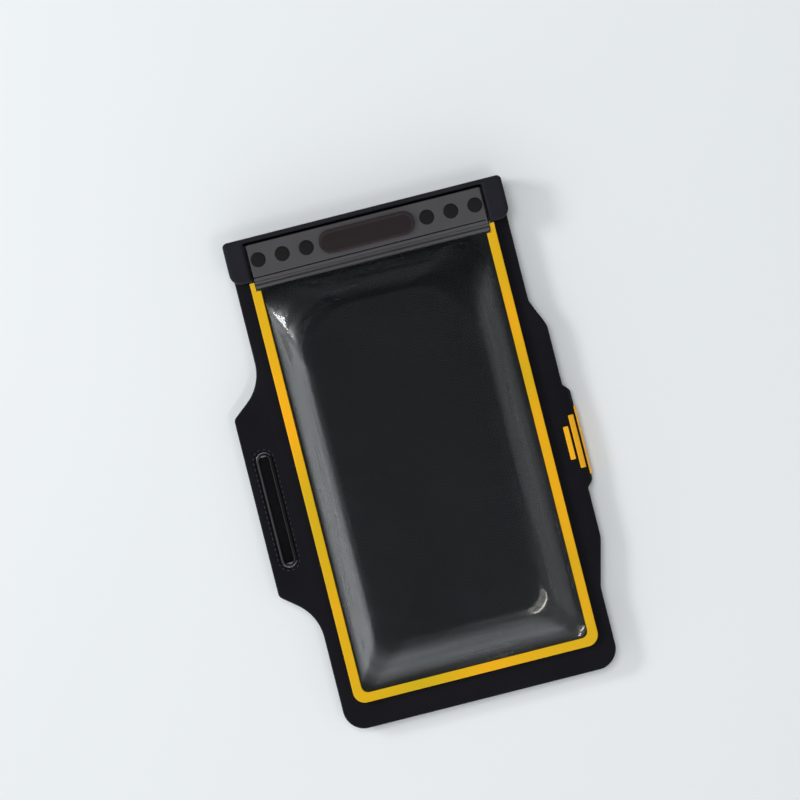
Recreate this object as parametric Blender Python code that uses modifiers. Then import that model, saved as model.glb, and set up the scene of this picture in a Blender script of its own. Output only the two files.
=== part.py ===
"""Waterproof armband pouch: a clear film pocket on a black fabric carrier, closed at the top by two
magnet strips, with an elastic arm strap folded flat behind it.

The pouch lies on its back. +X is across it, to the right of someone who looks at the window, +Y runs
up to the closure and +Z points out of the window. The origin is the middle of the pouch, on the
surface that it lies on, which the underside of the strap touches. All lengths are in metres.
"""

import math

import bmesh
import bpy
import numpy as np
from mathutils import Matrix, Vector

MM = 0.001

# Clearance between pieces that touch, and the steps that round shapes are drawn in
GAP = 0.3 * MM
ARC_STEP = math.radians(15)
ROUND_SIDES = 20
MOST_OF_A_SIDE = 0.98
SAME_PLACE = 0.001 * MM

# Carrier: the black fabric panel, with a slotted wing on the left and the strap's tongue on the right
POUCH_WIDTH = 118 * MM
POUCH_LENGTH = 212 * MM
CARRIER_THICK = 2.0 * MM
CARRIER_EDGE = 0.5 * MM
CARRIER_TOP_RADIUS = 2 * MM
CARRIER_BOTTOM_RADIUS = 9 * MM

LEFT_WING_REACH = 14.3 * MM
LEFT_WING_TOP = 33.4 * MM
LEFT_WING_BOTTOM = -43.4 * MM
LEFT_WING_SLOPE = 11.5 * MM
LEFT_WING_ROOT_RADIUS = 20 * MM
LEFT_WING_TIP_RADIUS = 2.5 * MM

RIGHT_WING_REACH = 5.1 * MM
RIGHT_WING_TOP = 40 * MM
RIGHT_WING_BOTTOM = -52 * MM
RIGHT_WING_TOP_SLOPE = 11.7 * MM
RIGHT_WING_BOTTOM_SLOPE = 20.5 * MM
RIGHT_WING_RADIUS = 10 * MM

# Strap: elastic webbing, sewn on the tongue, folded once under the left wing and hooked on itself
STRAP_WIDTH = 44 * MM
STRAP_CENTRE_Y = -7.6 * MM
STRAP_THICK = 1.5 * MM
STRAP_END_X = 30 * MM
STRAP_END_CLEARANCE = 4 * MM
STRAP_FOLD_INSET = 2.3 * MM
STRAP_SEAM_LENGTH = 15 * MM
STRAP_RAMP_LENGTH = 8 * MM
RAMP_STEPS = 6
PATCH_THICK = 0.7 * MM
PATCH_MARGIN = 2 * MM
PATCH_RADIUS = 2 * MM
HOOK_PATCH_LENGTH = 33 * MM
LOOP_PATCH_LENGTH = 88 * MM

# Tongue: the end of the carrier that bends round to the back
TONGUE_WIDTH = 37 * MM
TONGUE_CENTRE_Y = -8.3 * MM
TONGUE_REACH = 7.9 * MM
TONGUE_SHOULDER_LENGTH = 4.2 * MM
TONGUE_SHOULDER_DEPTH = 3.7 * MM
TONGUE_ROOT_RADIUS = 1 * MM
TONGUE_CORNER_RADIUS = 2 * MM
BEND_STRETCH = 1.9
BEND_STEPS = 12

# Reflective bars on the tongue, from the innermost to the outermost
BAR_LENGTHS = (14.2 * MM, 22.8 * MM, 29.5 * MM)
BAR_WIDTH = 2.0 * MM
BAR_PITCH = 2.95 * MM
BAR_START = 0.65 * MM
BAR_CENTRE_Y = -10.5 * MM
BAR_THICK = 0.25 * MM
BAR_STEPS = 4

# Slot in the left wing, with its moulded rim
SLOT_INSET = 8.0 * MM
SLOT_LENGTH = 46.8 * MM
SLOT_WIDTH = 4.3 * MM
RIM_BAND = 1.1 * MM
RIM_PROUD = 0.7 * MM
RIM_EDGE = 0.4 * MM

# Pocket: two films, welded along the flange, with the coloured frame on it
FILM_THICK = 0.4 * MM
FRAME_SIDE_MARGIN = 6.1 * MM
FRAME_BOTTOM_MARGIN = 10.8 * MM
FRAME_BAND = 4.0 * MM
FRAME_THICK = 0.5 * MM
FRAME_OUTER_RADIUS = 5 * MM
FRAME_INNER_RADIUS = 3 * MM
FRAME_TIP_BAND = 2.1 * MM
FRAME_TIP_RADIUS = 0.5 * MM
FRAME_STEP_CLEARANCE = 0.9 * MM
FLANGE_INSET = 0.5 * MM
POCKET_WIDTH = 68.5 * MM
POCKET_LENGTH = 141 * MM
POCKET_CENTRE_X = -1.25 * MM
POCKET_CENTRE_Y = -2 * MM
POCKET_DEPTH = 8.4 * MM
POCKET_RADIUS = 9 * MM
POCKET_RINGS = 6
POCKET_SWELL = 1.7

# Closure: a strip with magnets on each film, a ridged lip below the front strip and a bare badge
STRIP_HEIGHT = 14 * MM
STRIP_END_CLEARANCE = 0.4 * MM
STRIP_RADIUS = 0.8 * MM
FRONT_STRIP_THICK = 2.2 * MM
REAR_STRIP_THICK = 1.8 * MM
MAGNET_RADIUS = 3.0 * MM
MAGNET_THICK = 1.2 * MM
MAGNET_PITCH = 10.4 * MM
MAGNET_END_WALL = 0.4 * MM
MAGNETS_A_SIDE = 3
LIP_HEIGHT = 4.4 * MM
LIP_THICK = 1.3 * MM
LIP_RIDGE = 1.3 * MM
LIP_GROOVE = 0.6 * MM
LIP_WEB = 0.5 * MM
BADGE_LENGTH = 41.4 * MM
BADGE_HEIGHT = 10 * MM
BADGE_THICK = 0.9 * MM
BADGE_EDGE = 0.3 * MM

# Hood: the fabric that wraps over the top of the carrier and covers the ends of the strips
HOOD_HEIGHT = 18.2 * MM
HOOD_TOP_WALL = 1.4 * MM
HOOD_SIDE_WALL = 0.9 * MM
HOOD_BACK_WALL = 1.3 * MM
HOOD_FLAP_WIDTH = 9.3 * MM
HOOD_FRONT_LIP = 2.7 * MM
HOOD_PROUD = 0.3 * MM
HOOD_TOP_RADIUS = 2 * MM
HOOD_FLAP_RADIUS = 4.5 * MM
HOOD_EDGE = 0.4 * MM
CUT_CLEAR = 5 * MM

# Levels above the surface, from the strap up
LOOP_Z = STRAP_THICK + GAP
HOOK_Z = LOOP_Z + PATCH_THICK + GAP
STRAP_UPPER_Z = HOOK_Z + PATCH_THICK + GAP
CARRIER_Z = STRAP_UPPER_Z + STRAP_THICK + GAP
FRONT_Z = CARRIER_Z + CARRIER_THICK
REAR_FILM_Z = FRONT_Z + GAP
FLANGE_Z = REAR_FILM_Z + FILM_THICK + GAP
FRAME_Z = FLANGE_Z + FILM_THICK + GAP
CLOSURE_LIFT = REAR_STRIP_THICK + GAP
FRONT_STRIP_Z = FRAME_Z + CLOSURE_LIFT
FRONT_STRIP_TOP = FRONT_STRIP_Z + FRONT_STRIP_THICK
BADGE_Z = FRONT_STRIP_TOP + GAP

# Lines across the pouch and along it
HALF_WIDTH = POUCH_WIDTH / 2
HALF_LENGTH = POUCH_LENGTH / 2
CARRIER_TOP = HALF_LENGTH - HOOD_TOP_WALL - GAP
HOOD_HALF_WIDTH = HALF_WIDTH + GAP + HOOD_SIDE_WALL
HOOD_BOTTOM = HALF_LENGTH - HOOD_HEIGHT
FLAP_INNER_X = HOOD_HALF_WIDTH - HOOD_FLAP_WIDTH
STRIP_HALF_WIDTH = FLAP_INNER_X - STRIP_END_CLEARANCE
STRIP_TOP = HALF_LENGTH - HOOD_FRONT_LIP - GAP
STRIP_BOTTOM = STRIP_TOP - STRIP_HEIGHT
STRIP_MIDDLE = (STRIP_TOP + STRIP_BOTTOM) / 2
LIP_TOP = STRIP_BOTTOM - GAP
LIP_BOTTOM = LIP_TOP - LIP_HEIGHT
FRAME_HALF_WIDTH = HALF_WIDTH - FRAME_SIDE_MARGIN
FRAME_BOTTOM = FRAME_BOTTOM_MARGIN - HALF_LENGTH
FRAME_TIP_X = FRAME_HALF_WIDTH - FRAME_TIP_BAND
FRAME_TIP_TOP = HOOD_BOTTOM - 2 * GAP
FRAME_STEP_Y = LIP_BOTTOM - FRAME_STEP_CLEARANCE
LIP_HALF_WIDTH = FRAME_TIP_X - GAP
FILM_HALF_WIDTH = FRAME_HALF_WIDTH - FLANGE_INSET
FILM_BOTTOM = FRAME_BOTTOM + FLANGE_INSET
WINDOW_HALF_WIDTH = FRAME_HALF_WIDTH - FRAME_BAND
WINDOW_BOTTOM = FRAME_BOTTOM + FRAME_BAND
WING_X = HALF_WIDTH + RIGHT_WING_REACH
SLOT_X = SLOT_INSET - HALF_WIDTH - LEFT_WING_REACH
STRAP_LOW_Y = STRAP_CENTRE_Y - STRAP_WIDTH / 2
STRAP_HIGH_Y = STRAP_CENTRE_Y + STRAP_WIDTH / 2
TONGUE_LOW_Y = TONGUE_CENTRE_Y - TONGUE_WIDTH / 2
TONGUE_HIGH_Y = TONGUE_CENTRE_Y + TONGUE_WIDTH / 2

# The middle of the tongue's fabric follows half an ellipse from the carrier's level to the surface
BEND_RISE = CARRIER_Z / 2
BEND_RUN = BEND_STRETCH * BEND_RISE
BEND_MIDDLE_Z = (CARRIER_Z + CARRIER_THICK) / 2
BEND_X = HALF_WIDTH + TONGUE_REACH - CARRIER_THICK / 2 - BEND_RUN
BEND_ANGLES = np.linspace(0, math.pi, 361)
BEND_SPEEDS = np.hypot(BEND_RUN * np.cos(BEND_ANGLES), BEND_RISE * np.sin(BEND_ANGLES))
BEND_PIECES = (BEND_SPEEDS[1:] + BEND_SPEEDS[:-1]) / 2 * np.diff(BEND_ANGLES)
BEND_ALONGS = np.concatenate([[0], np.cumsum(BEND_PIECES)])
BEND_LENGTH = float(BEND_ALONGS[-1])
TONGUE_END_X = STRAP_END_X + STRAP_END_CLEARANCE + STRAP_RAMP_LENGTH + GAP
TONGUE_FLAT_END = BEND_X + BEND_LENGTH + BEND_X - TONGUE_END_X

# Colour, roughness and metallic value of each material
FINISHES = {
    "carrier_fabric": ((0.011, 0.011, 0.014), 0.85, 0.0),
    "hood_fabric": ((0.015, 0.015, 0.020), 0.85, 0.0),
    "elastic_webbing": ((0.009, 0.009, 0.011), 0.9, 0.0),
    "loop_pile": ((0.010, 0.010, 0.012), 1.0, 0.0),
    "hook_nylon": ((0.012, 0.012, 0.014), 0.6, 0.0),
    "rim_rubber": ((0.014, 0.014, 0.017), 0.45, 0.0),
    "rear_film": ((0.012, 0.013, 0.015), 0.3, 0.0),
    "clear_film": ((0.030, 0.034, 0.040), 0.12, 0.0),
    "frame_yellow": ((0.80, 0.40, 0.003), 0.35, 0.0),
    "reflective_yellow": ((0.85, 0.42, 0.004), 0.4, 0.0),
    "seal_grey": ((0.066, 0.065, 0.075), 0.4, 0.0),
    "magnet_cap": ((0.015, 0.016, 0.015), 0.35, 0.6),
    "badge_gloss": ((0.026, 0.019, 0.019), 0.3, 0.0),
}


def clear_scene():
    """Removes whatever the file starts with."""
    for obj in list(bpy.data.objects):
        bpy.data.objects.remove(obj)


def new_collection(name):
    """A collection linked under the scene."""
    collection = bpy.data.collections.new(name)
    bpy.context.scene.collection.children.link(collection)
    return collection


def finish_of(name):
    """The Principled material of that name, made the first time it is asked for."""
    found = bpy.data.materials.get(name)
    if found:
        return found
    colour, roughness, metallic = FINISHES[name]
    material = bpy.data.materials.new(name)
    material.use_nodes = True
    material.diffuse_color = (*colour, 1.0)
    shader = material.node_tree.nodes["Principled BSDF"]
    shader.inputs["Base Color"].default_value = (*colour, 1.0)
    shader.inputs["Roughness"].default_value = roughness
    shader.inputs["Metallic"].default_value = metallic
    return material


def turn_between(before, after):
    """The angle from one direction to the next, counter-clockwise positive."""
    return math.atan2(before.x * after.y - before.y * after.x, before.dot(after))


def rounded_outline(corners):
    """The closed outline through (x, y, radius) corners, each drawn as an arc. Where two arcs would
    meet along a side, both shrink until they fit it."""
    count = len(corners)
    places = [Vector((x, y)) for x, y, radius in corners]
    sides = [places[(i + 1) % count] - places[i] for i in range(count)]
    turns = [turn_between(sides[i - 1], sides[i]) for i in range(count)]
    reaches = [corner[2] * math.tan(abs(turn) / 2) for corner, turn in zip(corners, turns)]
    fits = []
    for i, side in enumerate(sides):
        wanted = reaches[i] + reaches[(i + 1) % count]
        fits.append(min(1.0, MOST_OF_A_SIDE * side.length / wanted) if wanted else 1.0)
    outline = []
    for i in range(count):
        share = min(fits[i - 1], fits[i])
        heading = sides[i - 1].normalized()
        start = places[i] - heading * reaches[i] * share
        radius = corners[i][2] * share
        steps = max(1, round(abs(turns[i]) / ARC_STEP)) if radius else 0
        for k in range(steps + 1):
            swept = turns[i] * k / max(steps, 1)
            chord = Matrix.Rotation(swept / 2, 2) @ heading
            point = start + chord * 2 * radius * math.sin(abs(swept) / 2)
            outline.append((point.x, point.y))
    return outline


def rounded_box(x_low, x_high, y_low, y_high, radius):
    """The outline of a rectangle with one radius at its corners, counter-clockwise."""
    corners = ((x_low, y_low), (x_high, y_low), (x_high, y_high), (x_low, y_high))
    return rounded_outline([(x, y, radius) for x, y in corners])


def stadium(x_middle, y_middle, width, height):
    """The outline of a bar with round ends."""
    half_width = width / 2
    half_height = height / 2
    return rounded_box(
        x_middle - half_width,
        x_middle + half_width,
        y_middle - half_height,
        y_middle + half_height,
        min(half_width, half_height),
    )


def link_mesh(name, mesh, collection, finish=None):
    """A new object that holds the mesh, with its material."""
    obj = bpy.data.objects.new(name, mesh)
    collection.objects.link(obj)
    if finish:
        mesh.materials.clear()
        mesh.materials.append(finish_of(finish))
    return obj


def as_mesh(obj):
    """The object as it looks with its modifiers, its caps welded and its flat faces joined, under
    its own name and in the same place. The old object is removed."""
    bpy.context.view_layer.update()
    graph = bpy.context.evaluated_depsgraph_get()
    mesh = bpy.data.meshes.new_from_object(obj.evaluated_get(graph))
    mesh.transform(obj.matrix_world)
    shape = bmesh.new()
    shape.from_mesh(mesh)
    bmesh.ops.remove_doubles(shape, verts=shape.verts, dist=SAME_PLACE)
    bmesh.ops.dissolve_limit(
        shape, angle_limit=math.radians(0.05), verts=shape.verts, edges=shape.edges
    )
    bmesh.ops.recalc_face_normals(shape, faces=shape.faces)
    shape.to_mesh(mesh)
    shape.free()
    name = obj.name
    collection = obj.users_collection[0]
    bpy.data.objects.remove(obj)
    return link_mesh(name, mesh, collection)


def flat_piece(name, loops, z_low, z_high, finish, collection):
    """A flat solid: a filled 2D curve through each outline, from z_low up to z_high. An outline that
    lies inside another is a hole."""
    curve = bpy.data.curves.new(name, "CURVE")
    curve.dimensions = "2D"
    curve.fill_mode = "BOTH"
    curve.extrude = (z_high - z_low) / 2
    for loop in loops:
        spline = curve.splines.new("POLY")
        spline.points.add(len(loop) - 1)
        for point, (x, y) in zip(spline.points, loop):
            point.co = (x, y, 0, 1)
        spline.use_cyclic_u = True
    curve.materials.append(finish_of(finish))
    obj = bpy.data.objects.new(name, curve)
    obj.location.z = (z_low + z_high) / 2
    collection.objects.link(obj)
    return as_mesh(obj)


def round_edges(obj, width, segments=2):
    """A bevel on the sharp edges only."""
    bevel = obj.modifiers.new("rounded edges", "BEVEL")
    bevel.width = width
    bevel.segments = segments
    bevel.limit_method = "ANGLE"
    bevel.angle_limit = math.radians(50)
    return obj


def cut(obj, cutter):
    """Takes the cutter's shape out of the object."""
    boolean = obj.modifiers.new("cut by " + cutter.name, "BOOLEAN")
    boolean.operation = "DIFFERENCE"
    boolean.solver = "EXACT"
    boolean.object = cutter
    return obj


def as_cutter(obj):
    """Hides a helper from renders and draws it as wire."""
    obj.hide_render = True
    obj.display_type = "WIRE"
    return obj


def box_cutter(name, low, high):
    """A box from its low corner to its high corner."""
    shape = bmesh.new()
    bmesh.ops.create_cube(shape, size=1)
    size = Vector(high) - Vector(low)
    middle = (Vector(high) + Vector(low)) / 2
    bmesh.ops.scale(shape, vec=size, verts=shape.verts)
    bmesh.ops.translate(shape, vec=middle, verts=shape.verts)
    mesh = bpy.data.meshes.new(name)
    shape.to_mesh(mesh)
    shape.free()
    return as_cutter(link_mesh(name, mesh, cutters))


def add_disc(shape, place, radius, z_low, z_high):
    """Adds a closed cylinder that stands on z_low over the (x, y) place."""
    middle = Vector((*place, (z_low + z_high) / 2))
    bmesh.ops.create_cone(
        shape,
        cap_ends=True,
        segments=ROUND_SIDES,
        radius1=radius,
        radius2=radius,
        depth=z_high - z_low,
        matrix=Matrix.Translation(middle),
    )


def smooth_round(mesh):
    """Smooth shading, with the sharp edges kept."""
    mesh.shade_smooth()
    mesh.set_sharp_from_angle(angle=math.radians(40))


def magnet_places():
    """The middle of each magnet, from the left end of the strip to the right."""
    outer = STRIP_HALF_WIDTH - MAGNET_END_WALL - GAP - MAGNET_RADIUS
    side = [outer - k * MAGNET_PITCH for k in range(MAGNETS_A_SIDE)]
    return [(-x, STRIP_MIDDLE) for x in side] + [(x, STRIP_MIDDLE) for x in reversed(side)]


def pocket_cutter(name, z_low, z_high):
    """The magnets' pockets, as one cutter with a clearance round each magnet."""
    shape = bmesh.new()
    for place in magnet_places():
        add_disc(shape, place, MAGNET_RADIUS + GAP, z_low, z_high)
    mesh = bpy.data.meshes.new(name)
    shape.to_mesh(mesh)
    shape.free()
    return as_cutter(link_mesh(name, mesh, cutters))


def bend_place(along, height):
    """Where a point of the flat tongue goes once it is bent: along is its distance past the start of
    the bend, and height its distance outwards from the middle of the fabric."""
    if along <= 0:
        return BEND_X + along, BEND_MIDDLE_Z + BEND_RISE + height
    if along >= BEND_LENGTH:
        return BEND_X - (along - BEND_LENGTH), BEND_MIDDLE_Z - BEND_RISE - height
    angle = float(np.interp(along, BEND_ALONGS, BEND_ANGLES))
    middle = Vector((BEND_RUN * math.sin(angle), BEND_RISE * math.cos(angle)))
    outwards = Vector((BEND_RISE * math.sin(angle), BEND_RUN * math.cos(angle))).normalized()
    place = middle + outwards * height
    return BEND_X + place.x, BEND_MIDDLE_Z + place.y


def slice_mesh(shape, place, normal):
    """Adds an edge to every face that the plane crosses."""
    everything = shape.verts[:] + shape.edges[:] + shape.faces[:]
    bmesh.ops.bisect_plane(shape, geom=everything, plane_co=place, plane_no=normal, dist=SAME_PLACE)


def bend_tongue(obj):
    """Bends everything right of the start of the bend round to the back of the carrier."""
    shape = bmesh.new()
    shape.from_mesh(obj.data)
    for step in range(BEND_STEPS + 1):
        along = float(np.interp(math.pi * step / BEND_STEPS, BEND_ANGLES, BEND_ALONGS))
        slice_mesh(shape, (BEND_X + along, 0, 0), (1, 0, 0))
    for vertex in shape.verts:
        if vertex.co.x > BEND_X:
            height = vertex.co.z - CARRIER_Z - CARRIER_THICK / 2
            vertex.co.x, vertex.co.z = bend_place(vertex.co.x - BEND_X, height)
    shape.to_mesh(obj.data)
    shape.free()
    return obj


def lift_closure(obj):
    """Raises what lies above the seal lip, so that it passes over the rear strip: nothing below the
    lip, the full lift above it and a straight slope between."""
    shape = bmesh.new()
    shape.from_mesh(obj.data)
    for y in (LIP_BOTTOM, LIP_TOP):
        slice_mesh(shape, (0, y, 0), (0, 1, 0))
    for vertex in shape.verts:
        share = (vertex.co.y - LIP_BOTTOM) / LIP_HEIGHT
        vertex.co.z += CLOSURE_LIFT * min(max(share, 0.0), 1.0)
    shape.to_mesh(obj.data)
    shape.free()
    return obj


def swept_strip(name, profile, y_low, y_high, thickness, side, finish):
    """A strip of even thickness: a line of (x, z) points carried along Y, then given its thickness.
    Side is 0 where the line is the middle of the strip and 1 where it is the strip's inner face."""
    shape = bmesh.new()
    points = [shape.verts.new((x, y_low, z)) for x, z in profile]
    edges = [shape.edges.new(pair) for pair in zip(points, points[1:])]
    swept = bmesh.ops.extrude_edge_only(shape, edges=edges)
    moved = [item for item in swept["geom"] if isinstance(item, bmesh.types.BMVert)]
    bmesh.ops.translate(shape, vec=(0, y_high - y_low, 0), verts=moved)
    mesh = bpy.data.meshes.new(name)
    shape.to_mesh(mesh)
    shape.free()
    obj = link_mesh(name, mesh, parts, finish)
    shell = obj.modifiers.new("thickness", "SOLIDIFY")
    shell.thickness = thickness
    shell.offset = side
    shell.use_even_offset = True
    smooth_round(mesh)
    return obj


def carrier_outline():
    """The carrier laid flat, with the wing that holds the slot on the left, and on the right the
    wing that the tongue grows out of. It runs down the left side and up the right one."""
    left = -HALF_WIDTH
    right = HALF_WIDTH
    wing = left - LEFT_WING_REACH
    shoulder = WING_X + TONGUE_SHOULDER_LENGTH
    root_low = TONGUE_LOW_Y - TONGUE_SHOULDER_DEPTH
    root_high = TONGUE_HIGH_Y + TONGUE_SHOULDER_DEPTH
    return rounded_outline(
        (
            (left, CARRIER_TOP, CARRIER_TOP_RADIUS),
            (left, LEFT_WING_TOP + LEFT_WING_SLOPE, LEFT_WING_ROOT_RADIUS),
            (wing, LEFT_WING_TOP, LEFT_WING_TIP_RADIUS),
            (wing, LEFT_WING_BOTTOM, LEFT_WING_TIP_RADIUS),
            (left, LEFT_WING_BOTTOM - LEFT_WING_SLOPE, LEFT_WING_ROOT_RADIUS),
            (left, -HALF_LENGTH, CARRIER_BOTTOM_RADIUS),
            (right, -HALF_LENGTH, CARRIER_BOTTOM_RADIUS),
            (right, RIGHT_WING_BOTTOM - RIGHT_WING_BOTTOM_SLOPE, RIGHT_WING_RADIUS),
            (WING_X, RIGHT_WING_BOTTOM, RIGHT_WING_RADIUS),
            (WING_X, root_low, TONGUE_ROOT_RADIUS),
            (shoulder, TONGUE_LOW_Y, TONGUE_CORNER_RADIUS),
            (TONGUE_FLAT_END, TONGUE_LOW_Y, TONGUE_CORNER_RADIUS),
            (TONGUE_FLAT_END, TONGUE_HIGH_Y, TONGUE_CORNER_RADIUS),
            (shoulder, TONGUE_HIGH_Y, TONGUE_CORNER_RADIUS),
            (WING_X, root_high, TONGUE_ROOT_RADIUS),
            (WING_X, RIGHT_WING_TOP, RIGHT_WING_RADIUS),
            (right, RIGHT_WING_TOP + RIGHT_WING_TOP_SLOPE, RIGHT_WING_RADIUS),
            (right, CARRIER_TOP, CARRIER_TOP_RADIUS),
        )
    )


def slot_outline(margin):
    """The outline of the strap slot, that much larger all round."""
    width = SLOT_WIDTH + 2 * margin
    return stadium(SLOT_X, STRAP_CENTRE_Y, width, SLOT_LENGTH + 2 * margin)


def make_carrier():
    """The fabric panel with its slot and the tongue that bends to the back."""
    loops = (carrier_outline(), slot_outline(RIM_BAND + GAP))
    panel = flat_piece("carrier_panel", loops, CARRIER_Z, FRONT_Z, "carrier_fabric", parts)
    panel = as_mesh(round_edges(panel, CARRIER_EDGE))
    bend_tongue(panel)
    smooth_round(panel.data)


def make_slot_rim():
    """The moulded ring that lines the slot and stands a little proud of the fabric."""
    loops = (slot_outline(RIM_BAND), slot_outline(0))
    rim = flat_piece("slot_rim", loops, CARRIER_Z, FRONT_Z + RIM_PROUD, "rim_rubber", parts)
    smooth_round(rim.data)
    round_edges(rim, RIM_EDGE)


def strap_profile():
    """The middle of the webbing, as (x, z) points: over the end of the tongue, down a ramp to the
    surface, left to the fold under the wing, round it and back over its own lower run."""
    low = STRAP_THICK / 2
    high = STRAP_UPPER_Z + STRAP_THICK / 2
    seam = CARRIER_THICK + GAP + STRAP_THICK / 2
    radius = (high - low) / 2
    fold_x = STRAP_FOLD_INSET - HALF_WIDTH - LEFT_WING_REACH + STRAP_THICK / 2 + radius
    ramp_x = TONGUE_END_X - GAP
    points = [(TONGUE_END_X + STRAP_SEAM_LENGTH, seam)]
    for step in range(RAMP_STEPS + 1):
        share = step / RAMP_STEPS
        eased = share * share * (3 - 2 * share)
        points.append((ramp_x - STRAP_RAMP_LENGTH * share, seam + (low - seam) * eased))
    fold_steps = round(math.pi / ARC_STEP)
    for step in range(fold_steps + 1):
        angle = math.pi * step / fold_steps
        points.append((fold_x - radius * math.sin(angle), low + radius * (1 - math.cos(angle))))
    points.append((STRAP_END_X, high))
    return points


def make_strap():
    """The elastic webbing with the two halves of its hook and loop fastening."""
    swept_strip(
        "arm_strap",
        strap_profile(),
        STRAP_LOW_Y,
        STRAP_HIGH_Y,
        STRAP_THICK,
        0,
        "elastic_webbing",
    )
    patch_end = STRAP_END_X - PATCH_MARGIN
    patches = (
        ("hook_patch", HOOK_PATCH_LENGTH, HOOK_Z, "hook_nylon"),
        ("loop_patch", LOOP_PATCH_LENGTH, LOOP_Z, "loop_pile"),
    )
    for name, length, z, finish in patches:
        outline = rounded_box(
            patch_end - length,
            patch_end,
            STRAP_LOW_Y + PATCH_MARGIN,
            STRAP_HIGH_Y - PATCH_MARGIN,
            PATCH_RADIUS,
        )
        flat_piece(name, (outline,), z, z + PATCH_THICK, finish, parts)


def make_bars():
    """The reflective bars, each a thin strip that follows the bend of the tongue."""
    for k, length in enumerate(BAR_LENGTHS):
        start = k * BAR_PITCH - BAR_START
        alongs = [start + BAR_WIDTH * step / BAR_STEPS for step in range(BAR_STEPS + 1)]
        profile = [bend_place(along, CARRIER_THICK / 2 + GAP) for along in alongs]
        swept_strip(
            f"reflective_bar_{k + 1}",
            profile,
            BAR_CENTRE_Y - length / 2,
            BAR_CENTRE_Y + length / 2,
            BAR_THICK,
            1,
            "reflective_yellow",
        )


def make_rear_film():
    """The back wall of the pocket, flat on the carrier and lifted over the rear strip at the top."""
    film_top = REAR_FILM_Z + FILM_THICK
    film = flat_piece("rear_wall", (film_outline(),), REAR_FILM_Z, film_top, "rear_film", parts)
    lift_closure(film)


def film_outline():
    """The outline of both films, counter-clockwise from the bottom left corner."""
    return rounded_outline(
        (
            (-FILM_HALF_WIDTH, FILM_BOTTOM, FRAME_OUTER_RADIUS),
            (FILM_HALF_WIDTH, FILM_BOTTOM, FRAME_OUTER_RADIUS),
            (FILM_HALF_WIDTH, STRIP_TOP, STRIP_RADIUS),
            (-FILM_HALF_WIDTH, STRIP_TOP, STRIP_RADIUS),
        )
    )


def blend(start, end, share):
    """The value that lies that share of the way from start to end."""
    return start + (end - start) * share


def window_rings():
    """The rings that the front film is drawn through, from the welded edge to the flat top over the
    pocket. Each is a rounded box at one level. The film swells out of the flange as a power of a
    sine, so it leaves the flange gently and meets the top level."""
    rise = REAR_FILM_Z + FILM_THICK + POCKET_DEPTH - FLANGE_Z
    rings = [(film_outline(), FLANGE_Z)]
    for k in range(POCKET_RINGS + 1):
        share = k / POCKET_RINGS
        outline = rounded_box(
            blend(-WINDOW_HALF_WIDTH, POCKET_CENTRE_X - POCKET_WIDTH / 2, share),
            blend(WINDOW_HALF_WIDTH, POCKET_CENTRE_X + POCKET_WIDTH / 2, share),
            blend(WINDOW_BOTTOM, POCKET_CENTRE_Y - POCKET_LENGTH / 2, share),
            blend(LIP_BOTTOM, POCKET_CENTRE_Y + POCKET_LENGTH / 2, share),
            blend(FRAME_INNER_RADIUS, POCKET_RADIUS, share),
        )
        swell = math.sin(share * math.pi / 2) ** POCKET_SWELL
        rings.append((outline, FLANGE_Z + rise * swell))
    return rings


def make_window_film():
    """The clear front film: a loft through the rings, closed on top and given its thickness."""
    shape = bmesh.new()
    loops = []
    for outline, z in window_rings():
        loops.append([shape.verts.new((x, y, z)) for x, y in outline])
    for outer, inner in zip(loops, loops[1:]):
        for i in range(len(outer)):
            shape.faces.new((outer[i - 1], outer[i], inner[i], inner[i - 1]))
    shape.faces.new(loops[-1])
    mesh = bpy.data.meshes.new("window_film")
    shape.to_mesh(mesh)
    shape.free()
    film = link_mesh("window_film", mesh, parts, "clear_film")
    shell = film.modifiers.new("thickness", "SOLIDIFY")
    shell.thickness = FILM_THICK
    shell.offset = 1
    shell.use_even_offset = True
    film = as_mesh(film)
    lift_closure(film)
    smooth_round(film.data)


def make_frame():
    """The coloured frame round the window: a U whose arms get narrow beside the seal lip."""
    outer = FRAME_HALF_WIDTH
    inner = WINDOW_HALF_WIDTH
    outline = rounded_outline(
        (
            (-outer, FRAME_TIP_TOP, FRAME_TIP_RADIUS),
            (-outer, FRAME_BOTTOM, FRAME_OUTER_RADIUS),
            (outer, FRAME_BOTTOM, FRAME_OUTER_RADIUS),
            (outer, FRAME_TIP_TOP, FRAME_TIP_RADIUS),
            (FRAME_TIP_X, FRAME_TIP_TOP, FRAME_TIP_RADIUS),
            (FRAME_TIP_X, FRAME_STEP_Y, 0),
            (inner, FRAME_STEP_Y, 0),
            (inner, WINDOW_BOTTOM, FRAME_INNER_RADIUS),
            (-inner, WINDOW_BOTTOM, FRAME_INNER_RADIUS),
            (-inner, FRAME_STEP_Y, 0),
            (-FRAME_TIP_X, FRAME_STEP_Y, 0),
            (-FRAME_TIP_X, FRAME_TIP_TOP, FRAME_TIP_RADIUS),
        )
    )
    frame = flat_piece(
        "colour_frame", (outline,), FRAME_Z, FRAME_Z + FRAME_THICK, "frame_yellow", parts
    )
    lift_closure(frame)


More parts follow.
